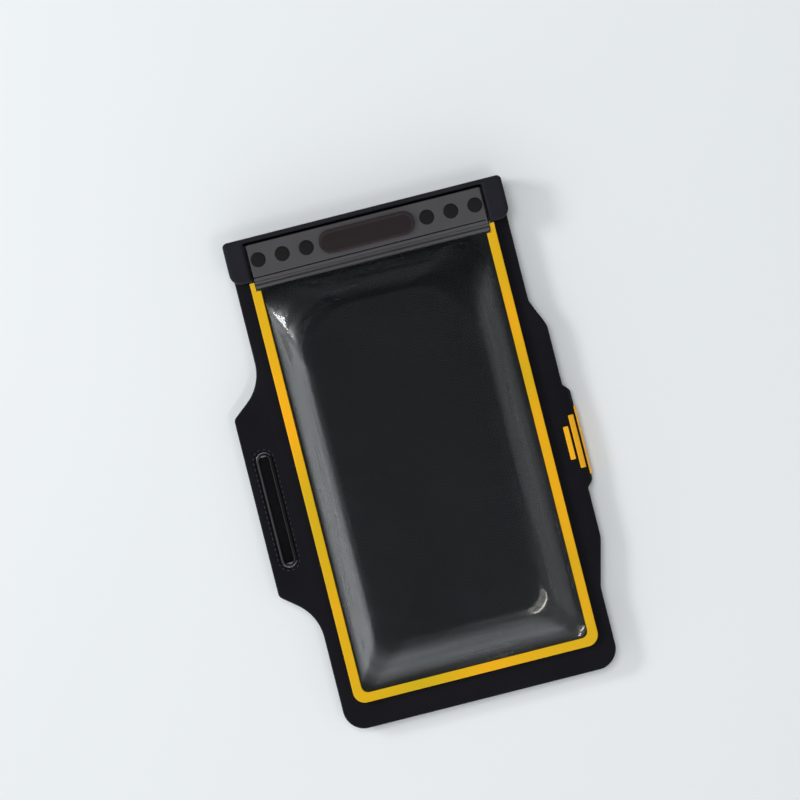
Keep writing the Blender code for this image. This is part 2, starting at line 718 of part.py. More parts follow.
def make_strips():
    """The two closure strips, each with its row of magnets let into the face away from the films."""
    outline = rounded_box(
        -STRIP_HALF_WIDTH, STRIP_HALF_WIDTH, STRIP_BOTTOM, STRIP_TOP, STRIP_RADIUS
    )
    rear_top = REAR_FILM_Z + REAR_STRIP_THICK
    front = flat_piece(
        "front_seal_strip", (outline,), FRONT_STRIP_Z, FRONT_STRIP_TOP, "seal_grey", parts
    )
    rear = flat_piece("rear_seal_strip", (outline,), REAR_FILM_Z, rear_top, "seal_grey", parts)
    depth = MAGNET_THICK + GAP
    above = FRONT_STRIP_TOP + CUT_CLEAR
    below = REAR_FILM_Z - CUT_CLEAR
    cut(front, pocket_cutter("front_pockets", FRONT_STRIP_TOP - depth, above))
    cut(rear, pocket_cutter("rear_pockets", below, REAR_FILM_Z + depth))
    make_magnets("front_magnet", FRONT_STRIP_TOP - MAGNET_THICK)
    make_magnets("rear_magnet", REAR_FILM_Z)


def make_magnets(name, z_low):
    """One disc for each pocket, flush with the face of its strip."""
    shape = bmesh.new()
    add_disc(shape, (0, 0), MAGNET_RADIUS, 0, MAGNET_THICK)
    mesh = bpy.data.meshes.new(name)
    shape.to_mesh(mesh)
    shape.free()
    smooth_round(mesh)
    mesh.materials.append(finish_of("magnet_cap"))
    for k, (x, y) in enumerate(magnet_places()):
        magnet = link_mesh(f"{name}_{k + 1}", mesh, parts)
        magnet.location = (x, y, z_low)


def make_seal_lip():
    """The ridged lip that presses the films together below the strips: a section with two ridges,
    drawn across the pouch. It follows the slope of the film under it."""
    section = (
        (0, 0),
        (LIP_HEIGHT, 0),
        (LIP_HEIGHT, LIP_THICK),
        (LIP_RIDGE + LIP_GROOVE, LIP_THICK),
        (LIP_RIDGE + LIP_GROOVE, LIP_WEB),
        (LIP_RIDGE, LIP_WEB),
        (LIP_RIDGE, LIP_THICK),
        (0, LIP_THICK),
    )
    slope = CLOSURE_LIFT / LIP_HEIGHT
    outline = [(y, height + y * slope) for y, height in section]
    lip = flat_piece(
        "seal_lip", (outline,), -LIP_HALF_WIDTH, LIP_HALF_WIDTH, "seal_grey", parts
    )
    stand = Matrix(((0, 0, 1, 0), (1, 0, 0, 0), (0, 1, 0, 0), (0, 0, 0, 1)))
    lip.data.transform(Matrix.Translation((0, LIP_BOTTOM, FRAME_Z)) @ stand)


def make_badge():
    """The raised plate in the middle of the front strip, which is left bare."""
    outline = stadium(0, STRIP_MIDDLE, BADGE_LENGTH, BADGE_HEIGHT)
    badge = flat_piece(
        "badge_plate", (outline,), BADGE_Z, BADGE_Z + BADGE_THICK, "badge_gloss", parts
    )
    smooth_round(badge.data)
    round_edges(badge, BADGE_EDGE)


def make_hood():
    """The hood: a block over the top of the carrier, opened for the carrier, for the edges of the
    films and for the front strip."""
    half = HOOD_HALF_WIDTH
    outline = rounded_outline(
        (
            (-half, HOOD_BOTTOM, HOOD_FLAP_RADIUS),
            (half, HOOD_BOTTOM, HOOD_FLAP_RADIUS),
            (half, HALF_LENGTH, HOOD_TOP_RADIUS),
            (-half, HALF_LENGTH, HOOD_TOP_RADIUS),
        )
    )
    back_z = CARRIER_Z - GAP - HOOD_BACK_WALL
    top_z = FRONT_STRIP_TOP + HOOD_PROUD
    hood = flat_piece("top_hood", (outline,), back_z, top_z, "hood_fabric", parts)
    round_edges(hood, HOOD_EDGE)
    below = HOOD_BOTTOM - CUT_CLEAR
    carrier_half = HALF_WIDTH + GAP
    film_half = FILM_HALF_WIDTH + GAP
    film_top = STRIP_TOP + GAP
    spaces = (
        ("carrier_space", carrier_half, CARRIER_TOP + GAP, CARRIER_Z - GAP, FRONT_Z + GAP),
        ("film_space", film_half, film_top, FRONT_Z, FRONT_STRIP_Z),
        ("strip_space", FLAP_INNER_X, film_top, FRONT_Z, top_z + CUT_CLEAR),
    )
    for name, half_width, y_high, z_low, z_high in spaces:
        cut(hood, box_cutter(name, (-half_width, below, z_low), (half_width, y_high, z_high)))


clear_scene()
parts = new_collection("armband_pouch")
cutters = new_collection("cutters")
make_carrier()
make_slot_rim()
make_strap()
make_bars()
make_rear_film()
make_window_film()
make_frame()
make_strips()
make_seal_lip()
make_badge()
make_hood()
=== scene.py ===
import math

import bmesh
import bpy
import numpy as np
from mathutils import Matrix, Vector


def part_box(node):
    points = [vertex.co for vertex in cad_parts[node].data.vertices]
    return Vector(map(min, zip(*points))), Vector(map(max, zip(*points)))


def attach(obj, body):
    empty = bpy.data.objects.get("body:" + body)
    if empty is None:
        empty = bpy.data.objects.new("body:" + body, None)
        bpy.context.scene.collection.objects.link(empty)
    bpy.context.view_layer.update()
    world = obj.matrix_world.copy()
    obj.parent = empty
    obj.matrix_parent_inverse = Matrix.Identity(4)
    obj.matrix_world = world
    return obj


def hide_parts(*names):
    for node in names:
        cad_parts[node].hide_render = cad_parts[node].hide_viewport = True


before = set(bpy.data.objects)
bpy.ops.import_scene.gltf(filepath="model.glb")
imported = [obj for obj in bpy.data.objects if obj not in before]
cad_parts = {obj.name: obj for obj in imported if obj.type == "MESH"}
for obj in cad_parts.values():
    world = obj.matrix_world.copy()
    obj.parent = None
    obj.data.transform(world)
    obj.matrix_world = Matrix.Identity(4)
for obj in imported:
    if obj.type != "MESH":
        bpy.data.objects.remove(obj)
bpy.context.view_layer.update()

# The looks of a waterproof armband pouch that lies on its back, window up, with its strap folded
# under it. +X is across it, +Y runs up to the closure and +Z points out of the window. All lengths
# are in metres. Most pieces are sheets: a flat plan of points, a thickness that rounds off at the
# edge, and a rule that says where a point of the flat sheet lies.

MM = 0.001
GAP = 0.3 * MM
SAME_PLACE = 0.002 * MM
TAU = 2 * math.pi

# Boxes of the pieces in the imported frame
panel_low, panel_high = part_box("carrier_panel")
hood_low, hood_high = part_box("top_hood")
rim_low, rim_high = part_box("slot_rim")
strap_low, strap_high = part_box("arm_strap")
film_low, film_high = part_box("window_film")
wall_low, wall_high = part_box("rear_wall")
band_low, band_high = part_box("colour_frame")
strip_low, strip_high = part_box("front_seal_strip")
lip_low, lip_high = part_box("seal_lip")
badge_low, badge_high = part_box("badge_plate")

# Carrier and its wings, which the boxes don't tell
CARRIER_THICK = 2.0 * MM
CARRIER_MIDDLE_Z = panel_high.z - CARRIER_THICK / 2
CARRIER_EDGE = 0.95 * MM
HALF_WIDTH = 59 * MM
WING_X = HALF_WIDTH + 5.1 * MM
TOP_RADIUS = 2 * MM
BOTTOM_RADIUS = 9 * MM
LEFT_WING_TOP = 33.4 * MM
LEFT_WING_BOTTOM = -43.4 * MM
LEFT_WING_SLOPE = 11.5 * MM
LEFT_WING_ROOT_RADIUS = 20 * MM
LEFT_WING_TIP_RADIUS = 2.5 * MM
RIGHT_WING_TOP = 40 * MM
RIGHT_WING_BOTTOM = -52 * MM
RIGHT_WING_TOP_SLOPE = 11.7 * MM
RIGHT_WING_BOTTOM_SLOPE = 20.5 * MM
RIGHT_WING_RADIUS = 10 * MM

# Tongue: the end of the carrier that bends round to the back
TONGUE_LOW_Y = -26.8 * MM
TONGUE_HIGH_Y = 10.2 * MM
TONGUE_SHOULDER_LENGTH = 4.2 * MM
TONGUE_SHOULDER_DEPTH = 3.7 * MM
TONGUE_ROOT_RADIUS = 1 * MM
TONGUE_CORNER_RADIUS = 2 * MM
TONGUE_END_X = 42.3 * MM
BEND_STRETCH = 1.9
BEND_RISE = (panel_high.z - CARRIER_THICK) / 2
BEND_RUN = BEND_STRETCH * BEND_RISE
BEND_MIDDLE_Z = panel_high.z / 2
BEND_X = panel_high.x - CARRIER_THICK / 2 - BEND_RUN
BEND_ANGLES = np.linspace(0, math.pi, 721)
BEND_SPEEDS = np.hypot(BEND_RUN * np.cos(BEND_ANGLES), BEND_RISE * np.sin(BEND_ANGLES))
BEND_STEPS = (BEND_SPEEDS[1:] + BEND_SPEEDS[:-1]) / 2 * np.diff(BEND_ANGLES)
BEND_ALONGS = np.concatenate([[0], np.cumsum(BEND_STEPS)])
BEND_LENGTH = BEND_ALONGS[-1]
TONGUE_FLAT_END = BEND_X + BEND_LENGTH + BEND_X - TONGUE_END_X
SEAM_INSET = 2.2 * MM

# Reflective bars
BAR_PITCH = 2.95 * MM
BAR_START = 0.65 * MM
BAR_WIDTH = 2.0 * MM
BAR_THICK = 0.25 * MM

# Strap
STRAP_THICK = 1.5 * MM
STRAP_RAMP = (42.0 * MM, 34.0 * MM)
STRAP_FOLD_X = -68.35 * MM
STRAP_END_X = 30 * MM
STRAP_SPREAD = 0.042
STRAP_SEAM_Z = CARRIER_THICK + GAP + STRAP_THICK / 2
RIB_PITCH = 1.5 * MM
RIB_DEPTH = 0.07 * MM

# Slot and its rim
RIM_BAND = 1.1 * MM
SLOT_X = (rim_low.x + rim_high.x) / 2
SLOT_Y = (rim_low.y + rim_high.y) / 2
SLOT_HOLE_RADIUS = (rim_high.x - rim_low.x) / 2 + GAP
SLOT_SPINE = (rim_high.y - rim_low.y) / 2 - (rim_high.x - rim_low.x) / 2
SLOT_SEAM_OFFSET = 1.25 * MM
SLOT_SEAM_LONGER = 0.4 * MM

# Pocket film and coloured frame
FILM_THICK = 0.4 * MM
FRAME_BAND = 4.0 * MM
FRAME_TIP_BAND = 2.1 * MM
FRAME_THICK = 0.5 * MM
FRAME_OUTER_RADIUS = 5 * MM
FRAME_INNER_RADIUS = 3 * MM
FILM_RADII = (FRAME_OUTER_RADIUS, FRAME_OUTER_RADIUS, 0.8 * MM, 0.8 * MM)
FRAME_STEP_Y = lip_low.y - 0.9 * MM
POCKET_LOW = (-35.5 * MM, -72.5 * MM)
POCKET_HIGH = (33.0 * MM, 68.5 * MM)
POCKET_LOW_RADIUS = 9 * MM
POCKET_HIGH_RADIUS = 22 * MM
CORNER_TURN = np.array([1.0, 1.0, 0.5, 0.5])
POCKET_SWELL = 1.7
CORNER_SWELL = 1.25
SLOPE_LENGTH = 14 * MM
# Folds at each corner: how many points past its middle, how high in mm, and how many points wide
CORNER_FOLDS = ((-9, 0.12, 3.4), (0.5, -0.24, 2.4), (7, 0.17, 3.0), (15, -0.1, 4))
STREAK_HEIGHT = 0.042
CLOSURE_LIFT = strip_low.z - band_low.z
WINDOW_X = band_high.x - FRAME_BAND
WINDOW_LOW_Y = band_low.y + FRAME_BAND

# Closure
MAGNET_RADIUS = 3.0 * MM
MAGNET_THICK = 1.2 * MM
MAGNET_NUMBERS = (1, 2, 3, 4, 5, 6)
LIP_RIDGE = 1.3 * MM
LIP_GROOVE = 0.6 * MM
LIP_WEB = 0.5 * MM
LIP_THICK = 1.3 * MM

# Hood
HOOD_WALL = 0.9 * MM
HOOD_FOLD = 1.6 * MM
HOOD_ROLL = 1.05 * MM
HOOD_ROLL_DEPTH = 1.7 * MM
HOOD_BACK_FOLD = 1.1 * MM
HOOD_TOP_RADIUS = 2 * MM
FLAP_RADIUS = 4.5 * MM
FLAP_INNER_X = strip_high.x + 1.1 * MM
HOOD_OPENING_Y = strip_high.y + 1.05 * MM
HOOD_INNER_RADIUS = 0.7 * MM
HOOD_BACK_MIDDLE_Y = 97 * MM
# The share of the hood's cloth that is left when its corners are rounded
HOOD_CORNERS_LEFT = 0.97

# Camera: straight down on the window, turned as the photo is
VIEW_TURN = math.radians(-14.2)
VIEW_AIM = (-3.6 * MM, 24.5 * MM)
VIEW_DISTANCE = 1.5
VIEW_WIDTH = 336.3 * MM
SENSOR = 36.0
ROOM_LEVEL = 3.1


def linear(text):
    """An sRGB hex colour as linear red, green, blue and an alpha of 1."""
    levels = [int(text[k:k + 2], 16) / 255 for k in (1, 3, 5)]
    return (*[c / 12.92 if c <= 0.04045 else ((c + 0.055) / 1.055) ** 2.4 for c in levels], 1.0)


def add(tree, kind, inputs=None, **settings):
    """Adds a shader node with its settings. An input is a value, or another node's socket."""
    node = tree.nodes.new("ShaderNode" + kind)
    for name, value in settings.items():
        setattr(node, name, value)
    for name, value in (inputs or {}).items():
        if isinstance(value, bpy.types.NodeSocket):
            tree.links.new(value, node.inputs[name])
        else:
            node.inputs[name].default_value = value
    return node


def new_finish(name, **inputs):
    """A Principled material of that name, and its tree and shader."""
    material = bpy.data.materials.new(name)
    material.use_nodes = True
    tree = material.node_tree
    shader = tree.nodes["Principled BSDF"]
    for key, value in inputs.items():
        shader.inputs[key.replace("_", " ").title().replace("Ior", "IOR")].default_value = value
    return material, tree, shader


def object_place(tree):
    """The place on the object, in metres."""
    return add(tree, "TexCoord").outputs["Object"]


def flat_place(tree):
    """The place on the sheet as it was cut, before it was bent, in metres."""
    return add(tree, "Attribute", attribute_name="flat_place").outputs["Vector"]


def turned(tree, place, degrees):
    """The place, turned about Z."""
    turn = (0, 0, math.radians(degrees))
    return add(tree, "Mapping", {"Vector": place, "Rotation": turn}).outputs["Vector"]


def ribs(tree, place, pitch, direction, distortion=0.0):
    """Even waves from 0 to 1 across one direction. A wave texture at scale 1 repeats each pi / 10."""
    settings = {"bands_direction": direction, "wave_profile": "SIN"}
    inputs = {"Vector": place, "Scale": math.pi / 10 / pitch, "Distortion": distortion}
    return add(tree, "TexWave", inputs, **settings).outputs["Fac"]


def mottle(tree, place, size, detail=2.0):
    """Soft noise from 0 to 1 whose patches are about that large."""
    inputs = {"Vector": place, "Scale": 1 / size, "Detail": detail}
    return add(tree, "TexNoise", inputs).outputs["Fac"]


def times(tree, first, second):
    """One value times another."""
    return add(tree, "Math", {0: first, 1: second}, operation="MULTIPLY").outputs[0]


def plus(tree, first, second):
    """The sum of two values."""
    return add(tree, "Math", {0: first, 1: second}, operation="ADD").outputs[0]


def blend(tree, first, second, share):
    """A share of the first value, and the rest of the second."""
    return plus(tree, times(tree, first, share), times(tree, second, 1 - share))


def crossed(tree, place, pitch_x, pitch_y, distortion=0.0):
    """A weave from 0 to 1: waves across X times waves across Y."""
    across = ribs(tree, place, pitch_x, "X", distortion)
    return times(tree, across, ribs(tree, place, pitch_y, "Y", distortion))


def cells(tree, place, size):
    """Small domes of about that size: how far each point is from the nearest of scattered ones."""
    return add(tree, "TexVoronoi", {"Vector": place, "Scale": 1 / size}).outputs["Distance"]


def third_part(tree):
    """The third part of the flat place: how far inside an edge or up a slope a point is."""
    return add(tree, "SeparateXYZ", {0: flat_place(tree)}).outputs["Z"]


def spread(tree, value, low, high, start=0.0, end=1.0):
    """Carries a value from start..end to low..high."""
    inputs = {"Value": value, "From Min": start, "From Max": end, "To Min": low, "To Max": high}
    return add(tree, "MapRange", inputs).outputs["Result"]


def tint(tree, shader, value, dark, light):
    """Base colour from one hex colour to another as the value goes from 0 to 1."""
    inputs = {0: value, 6: linear(dark), 7: linear(light)}
    mixed = add(tree, "Mix", inputs, data_type="RGBA")
    tree.links.new(mixed.outputs[2], shader.inputs["Base Color"])


def relief(tree, shader, height, depth):
    """Bump whose height of 0 to 1 stands for that depth in metres."""
    bump = add(tree, "Bump", {"Height": height, "Strength": 1.0, "Distance": depth})
    tree.links.new(bump.outputs["Normal"], shader.inputs["Normal"])


def roughen(tree, shader, value, low, high):
    """Roughness from low to high as the value goes from 0 to 1."""
    tree.links.new(spread(tree, value, low, high), shader.inputs["Roughness"])


def laminated_jersey():
    """Polyester jersey laminated on a thin foam: matt black with a fine diagonal knit, which gives
    the eye a soft grain and a faint sheen at grazing angles. The knit is 0.35 mm on the real cloth
    and is drawn at 0.95 mm, because a finer one would not show."""
    material, tree, shader = new_finish(
        "laminated_jersey", roughness=0.85, specular_ior_level=0.12, sheen_weight=0.04,
        sheen_roughness=0.5,
    )
    place = flat_place(tree)
    knit = crossed(tree, turned(tree, place, 45), 0.95 * MM, 0.95 * MM)
    clouds = mottle(tree, place, 28 * MM, 3.0)
    tint(tree, shader, blend(tree, knit, clouds, 0.5), "#0C0C10", "#1F1F25")
    relief(tree, shader, blend(tree, knit, mottle(tree, place, 0.6 * MM), 0.7), 0.15 * MM)
    return material


def brushed_tricot():
    """Brushed tricot, the hood's cover: black with a short nap, a touch lighter than the carrier,
    in straight rows. The rows are drawn at 1.1 mm in place of 0.4 mm, so that they show."""
    material, tree, shader = new_finish(
        "brushed_tricot", roughness=0.9, specular_ior_level=0.10, sheen_weight=0.07,
        sheen_roughness=0.4,
    )
    place = object_place(tree)
    rows = crossed(tree, place, 1.1 * MM, 0.9 * MM, 0.4)
    clouds = mottle(tree, place, 16 * MM, 3.0)
    tint(tree, shader, blend(tree, rows, clouds, 0.4), "#19191E", "#2D2D34")
    relief(tree, shader, blend(tree, rows, mottle(tree, place, 0.5 * MM), 0.5), 0.09 * MM)
    return material


def elastic_webbing():
    """Woven elastic webbing: black, with picks across the lengthwise ribs that are in the mesh.
    The picks are drawn at 0.9 mm in place of 0.5 mm."""
    material, tree, shader = new_finish(
        "elastic_webbing", roughness=0.8, specular_ior_level=0.25, sheen_weight=0.15,
    )
    place = flat_place(tree)
    weave = times(
        tree, ribs(tree, place, 0.9 * MM, "X", 0.3), ribs(tree, place, RIB_PITCH / 2, "Y")
    )
    value = blend(tree, weave, mottle(tree, place, 9 * MM), 0.6)
    tint(tree, shader, value, "#08080B", "#18181D")
    relief(tree, shader, weave, 0.12 * MM)
    return material


def loop_pile():
    """Knitted loop pile of a hook and loop fastener: dull black fuzz in clumps of about 0.8 mm."""
    material, tree, shader = new_finish(
        "loop_pile", roughness=1.0, specular_ior_level=0.1, sheen_weight=0.35,
    )
    place = object_place(tree)
    clumps = cells(tree, place, 0.8 * MM)
    tint(tree, shader, clumps, "#1A1A1F", "#0A0A0C")
    relief(tree, shader, plus(tree, clumps, mottle(tree, place, 0.3 * MM)), 0.25 * MM)
    return material


def hook_nylon():
    """Moulded nylon hooks of the fastener, in straight rows 1.2 mm apart: black with small glints."""
    material, tree, shader = new_finish("hook_nylon", roughness=0.45, specular_ior_level=0.5)
    place = object_place(tree)
    rows = crossed(tree, place, 1.2 * MM, 0.8 * MM)
    tint(tree, shader, rows, "#08080A", "#1C1C20")
    relief(tree, shader, rows, 0.35 * MM)
    return material


def moulded_rubber():
    """Injection moulded thermoplastic rubber, the rim of the slot: near black and satin, with a
    spark eroded grain of 0.4 mm that breaks up the gloss along its crest."""
    material, tree, shader = new_finish("moulded_rubber", specular_ior_level=0.5)
    place = object_place(tree)
    grain = mottle(tree, place, 0.4 * MM, 3.0)
    tint(tree, shader, mottle(tree, place, 6 * MM), "#111114", "#1D1D21")
    roughen(tree, shader, grain, 0.28, 0.46)
    relief(tree, shader, grain, 0.02 * MM)
    return material


def dark_film():
    """Calendered polyurethane film, dyed black, the back wall of the pocket: a fine matt emboss of
    0.7 mm keeps it from sticking to what is put in, so it gives back only a soft grey light."""
    material, tree, shader = new_finish("dark_film", specular_ior_level=0.35)
    place = object_place(tree)
    clouds = mottle(tree, place, 30 * MM, 3.0)
    tint(tree, shader, clouds, "#15171A", "#23262A")
    roughen(tree, shader, clouds, 0.38, 0.52)
    relief(tree, shader, cells(tree, place, 0.7 * MM), 0.03 * MM)
    return material


def clear_film():
    """Clear polyurethane film, cast, with a satin body under a glossy skin, a little smoky where it
    is thick. Stretching it over the pocket leaves streaks of 2.6 mm that run along its slopes. The
    third part of its flat place is how far up the slope a point is."""
    material, tree, shader = new_finish(
        "clear_film", base_color=linear("#E2E8EC"), ior=1.42,
        transmission_weight=1.0, coat_weight=0.45, coat_roughness=0.04,
    )
    stretched = add(tree, "Mapping", {"Vector": flat_place(tree), "Scale": (0.05, 0.05, 1)})
    streaks = mottle(tree, stretched.outputs["Vector"], 2.6 * MM, 1.0)
    waves = mottle(tree, object_place(tree), 13 * MM, 1.0)
    drawn = spread(tree, third_part(tree), 1.0, 0.0, 0.8 * SLOPE_LENGTH, 1.05 * SLOPE_LENGTH)
    marks = times(tree, spread(tree, streaks, 0.0, 1.0, 0.3, 0.7), drawn)
    roughen(tree, shader, blend(tree, marks, waves, 0.8), 0.16, 0.3)
    relief(tree, shader, blend(tree, marks, waves, 0.6), 0.3 * MM)
    return material


def yellow_film_painted_light():
    """Yellow polyurethane film, welded on as the frame: warm yellow with a satin gloss, under a slow
    orange peel of 3 mm. Its slow mottle from a greener to a more orange yellow is painted light and
    shade."""
    material, tree, shader = new_finish("yellow_film_painted_light", specular_ior_level=0.4)
    place = object_place(tree)
    # painted light and shade: a slow mottle from a shaded, greener yellow to a lit, more orange one
    clouds = spread(tree, mottle(tree, place, 60 * MM, 2.0), 0.0, 1.0, 0.32, 0.68)
    peel = mottle(tree, place, 3 * MM, 2.0)
    tint(tree, shader, clouds, "#CFAE0A", "#FCB206")
    roughen(tree, shader, peel, 0.3, 0.42)
    relief(tree, shader, peel, 0.03 * MM)
    return material


def reflective_transfer():
    """Yellow reflective transfer print, pressed on hot: a film of glass beads, drawn as cells of
    0.5 mm in place of 0.06 mm, that sparkle a little in an even warm yellow."""
    material, tree, shader = new_finish("reflective_transfer", specular_ior_level=0.35)
    beads = cells(tree, flat_place(tree), 0.5 * MM)
    tint(tree, shader, beads, "#FFC022", "#F8AC10")
    roughen(tree, shader, beads, 0.25, 0.5)
    relief(tree, shader, beads, 0.03 * MM)
    return material


def satin_grey():
    """Extruded polyurethane, dark grey and satin, the closure strips and their lip: slightly cloudy,
    with faint lines along its length from the die, 0.9 mm apart."""
    material, tree, shader = new_finish("satin_grey", specular_ior_level=0.4)
    place = object_place(tree)
    lines = ribs(tree, place, 0.9 * MM, "Y", 0.5)
    clouds = mottle(tree, place, 13 * MM, 3.0)
    tint(tree, shader, blend(tree, clouds, lines, 0.8), "#403F42", "#4D4C4F")
    roughen(tree, shader, clouds, 0.34, 0.5)
    grain = mottle(tree, place, 0.7 * MM)
    relief(tree, shader, plus(tree, times(tree, lines, 0.5), grain), 0.02 * MM)
    return material


def plated_magnet():
    """Black plated magnets, tumbled before plating: near black with a dull shine and small marks."""
    material, tree, shader = new_finish("plated_magnet", metallic=0.35, specular_ior_level=0.4)
    place = object_place(tree)
    marks = mottle(tree, place, 0.8 * MM, 4.0)
    tint(tree, shader, mottle(tree, place, 3 * MM), "#121312", "#1C1D1C")
    roughen(tree, shader, marks, 0.4, 0.6)
    relief(tree, shader, marks, 0.02 * MM)
    return material


def gloss_polycarbonate():
    """Moulded polycarbonate with a brown-black dye, the bare badge: a polished face that shows
    slow waves and a fine haze of handling marks, with a browner ring of 1.3 mm round it. The third
    part of its flat place is how far inside the edge a point is."""
    material, tree, shader = new_finish("gloss_polycarbonate", specular_ior_level=0.5)
    place = object_place(tree)
    ring = spread(tree, third_part(tree), 1.0, 0.0, 1.2 * MM, 1.4 * MM)
    value = blend(tree, ring, mottle(tree, place, 8 * MM), 0.6)
    tint(tree, shader, value, "#201A1B", "#2F2528")
    roughen(tree, shader, mottle(tree, place, 3 * MM), 0.26, 0.36)
    relief(tree, shader, mottle(tree, place, 6 * MM, 1.0), 0.02 * MM)
    return material


def twisted_thread():
    """Bonded polyester sewing thread: black with a soft shine, its plies drawn 0.5 mm apart."""
    material, tree, shader = new_finish("twisted_thread", roughness=0.55, specular_ior_level=0.4)
    place = turned(tree, object_place(tree), 35)
    plies = ribs(tree, place, 0.5 * MM, "X")
    tint(tree, shader, plies, "#1B1B20", "#34343B")
    relief(tree, shader, plies, 0.06 * MM)
    return material


def painted_board():
    """A painted studio board, pale and matt, with a faint roller stipple of 1.5 mm."""
    material, tree, shader = new_finish("painted_board", roughness=0.75, specular_ior_level=0.2)
    place = object_place(tree)
    tint(tree, shader, mottle(tree, place, 0.4), "#E9EDEF", "#EEF1F3")
    relief(tree, shader, mottle(tree, place, 1.5 * MM), 0.02 * MM)
    return material


def closing(edge, count=7):
    """Distances from 0 to the edge that start close together: one minus the cosine of equal turns."""
    return edge * (1 - np.cos(np.linspace(0, math.pi / 2, count)))


def steps_between(low, high, pitch, edge=0.0):
    """Places from low to high about a pitch apart, which close up near each end over the edge."""
    close = closing(edge)[:-1]
    count = max(2, round((high - low - 2 * edge) / pitch) + 1)
    middle = np.linspace(low + edge, high - edge, count)
    return np.concatenate([low + close, middle, (high - close)[::-1]]) if edge else middle


def rounded_outline(corners, step=math.radians(4)):
    """The closed outline through (x, y, radius) corners. Each corner is an arc that touches both of
    its sides, drawn as chords from where it starts. Where two arcs would meet along a side, both
    shrink until they fit."""
    corners = np.array(corners, float)
    places = corners[:, :2]
    sides = np.roll(places, -1, 0) - places
    lengths = np.hypot(sides[:, 0], sides[:, 1])
    after = np.arctan2(sides[:, 1], sides[:, 0])
    before = np.roll(after, 1)
    turns = (after - before + math.pi) % TAU - math.pi
    reach = corners[:, 2] * np.tan(np.abs(turns) / 2)
    fit = np.minimum(1, 0.98 * lengths / np.maximum(reach + np.roll(reach, -1), 1e-9))
    share = np.minimum(fit, np.roll(fit, 1))
    outline = []
    for k, place in enumerate(places):
        count = max(1, math.ceil(abs(turns[k]) / step)) if corners[k, 2] else 0
        swept = turns[k] * np.linspace(0, 1, count + 1)
        chord = before[k] + swept / 2
        length = 2 * corners[k, 2] * share[k] * np.sin(np.abs(swept) / 2)
        start = place - reach[k] * share[k] * np.array([math.cos(before[k]), math.sin(before[k])])
        outline.append(start + length[:, None] * np.stack([np.cos(chord), np.sin(chord)], -1))
    return np.concatenate(outline)


def box_ring(low, high, radii, across, along, around):
    """A rounded box as points, counter-clockwise from its left side: four quarter circles, the
    lower left one first, with even steps along the sides between them."""
    starts = np.radians([180, 270, 0, 90])
    corners = np.array([[low[0], low[1]], [high[0], low[1]], [high[0], high[1]], [low[0], high[1]]])
    inward = np.array([[1, 1], [-1, 1], [-1, -1], [1, -1]])
    centres = corners + inward * np.array(radii)[:, None]
    sweep = np.linspace(0, math.pi / 2, around)
    arcs = []
    for k in range(4):
        spoke = np.stack([np.cos(starts[k] + sweep), np.sin(starts[k] + sweep)], -1)
        arcs.append(centres[k] + radii[k] * spoke)
    ring = []
    for k, count in enumerate((across, along, across, along)):
        shares = np.linspace(0, 1, count + 2)[1:-1, None]
        end, start = arcs[k][-1], arcs[(k + 1) % 4][0]
        ring += [arcs[k], end + (start - end) * shares]
    return np.concatenate(ring)


def inset_rings(low, high, radii, insets, counts):
    """Rings of a rounded box, each one that much inside the box, from the smallest, which may be a
    line, to the largest. With them comes how deep inside the box each point is."""
    rings = []
    for inset in sorted(insets, reverse=True):
        room = min(high[0] - low[0], high[1] - low[1]) / 2 - inset
        shrunk = np.minimum(np.maximum(np.array(radii) - inset, 0.05 * MM), max(room, 0.0))
        ring_low = (low[0] + inset, low[1] + inset)
        ring_high = (high[0] - inset, high[1] - inset)
        rings.append(box_ring(ring_low, ring_high, shrunk, *counts))
    rings = np.array(rings)
    return rings, np.sort(insets)[::-1][:, None] + np.zeros(rings.shape[:2])


def edge_round(distance, reach, power=2.6):
    """How thick a sheet is near its edge, from 0 on the edge to 1 from the reach inwards, as a
    quarter of a squarish oval."""
    inside = 1 - np.clip(distance / reach, 0, 1)
    return (1 - inside ** power) ** (1 / power)


def distance_to(path, x, y, closed=True):
    """The distance from each point to the nearest side of a path, worked out side by side."""
    ends = np.roll(path, -1, 0) if closed else path[1:]
    starts = path if closed else path[:-1]
    nearest = np.full(x.shape, np.inf)
    for (ax, ay), (bx, by) in zip(starts, ends):
        long = (bx - ax) ** 2 + (by - ay) ** 2
        if long > 0:
            share = np.clip(((x - ax) * (bx - ax) + (y - ay) * (by - ay)) / long, 0, 1)
            gone = (x - ax - share * (bx - ax)) ** 2 + (y - ay - share * (by - ay)) ** 2
            nearest = np.minimum(nearest, gone)
    return np.sqrt(nearest)


def bell(value, width):
    """A smooth bump of height 1 about 0, as exp of minus the square."""
    return np.exp(-((value / width) ** 2))


def lift(y):
    """How far the closure raises what lies on it: nothing below the lip, a slope across it."""
    return CLOSURE_LIFT * np.clip((y - lip_low.y) / (lip_high.y - lip_low.y), 0, 1)


def bend_round(along, height):
    """Where a point of the flat tongue goes: half an ellipse from the carrier's level down to the
    surface, and then straight back. Along is its distance past the start of the bend, and height
    its distance outwards from the middle of the fabric."""
    angle = np.interp(np.clip(along, 0, BEND_LENGTH), BEND_ALONGS, BEND_ANGLES)
    out_x = BEND_RISE * np.sin(angle)
    out_z = BEND_RUN * np.cos(angle)
    norm = np.hypot(out_x, out_z)
    straight = np.minimum(along, 0) - np.maximum(along - BEND_LENGTH, 0)
    x = BEND_X + BEND_RUN * np.sin(angle) + out_x / norm * height + straight
    z = BEND_MIDDLE_Z + BEND_RISE * np.cos(angle) + out_z / norm * height
    return x, z


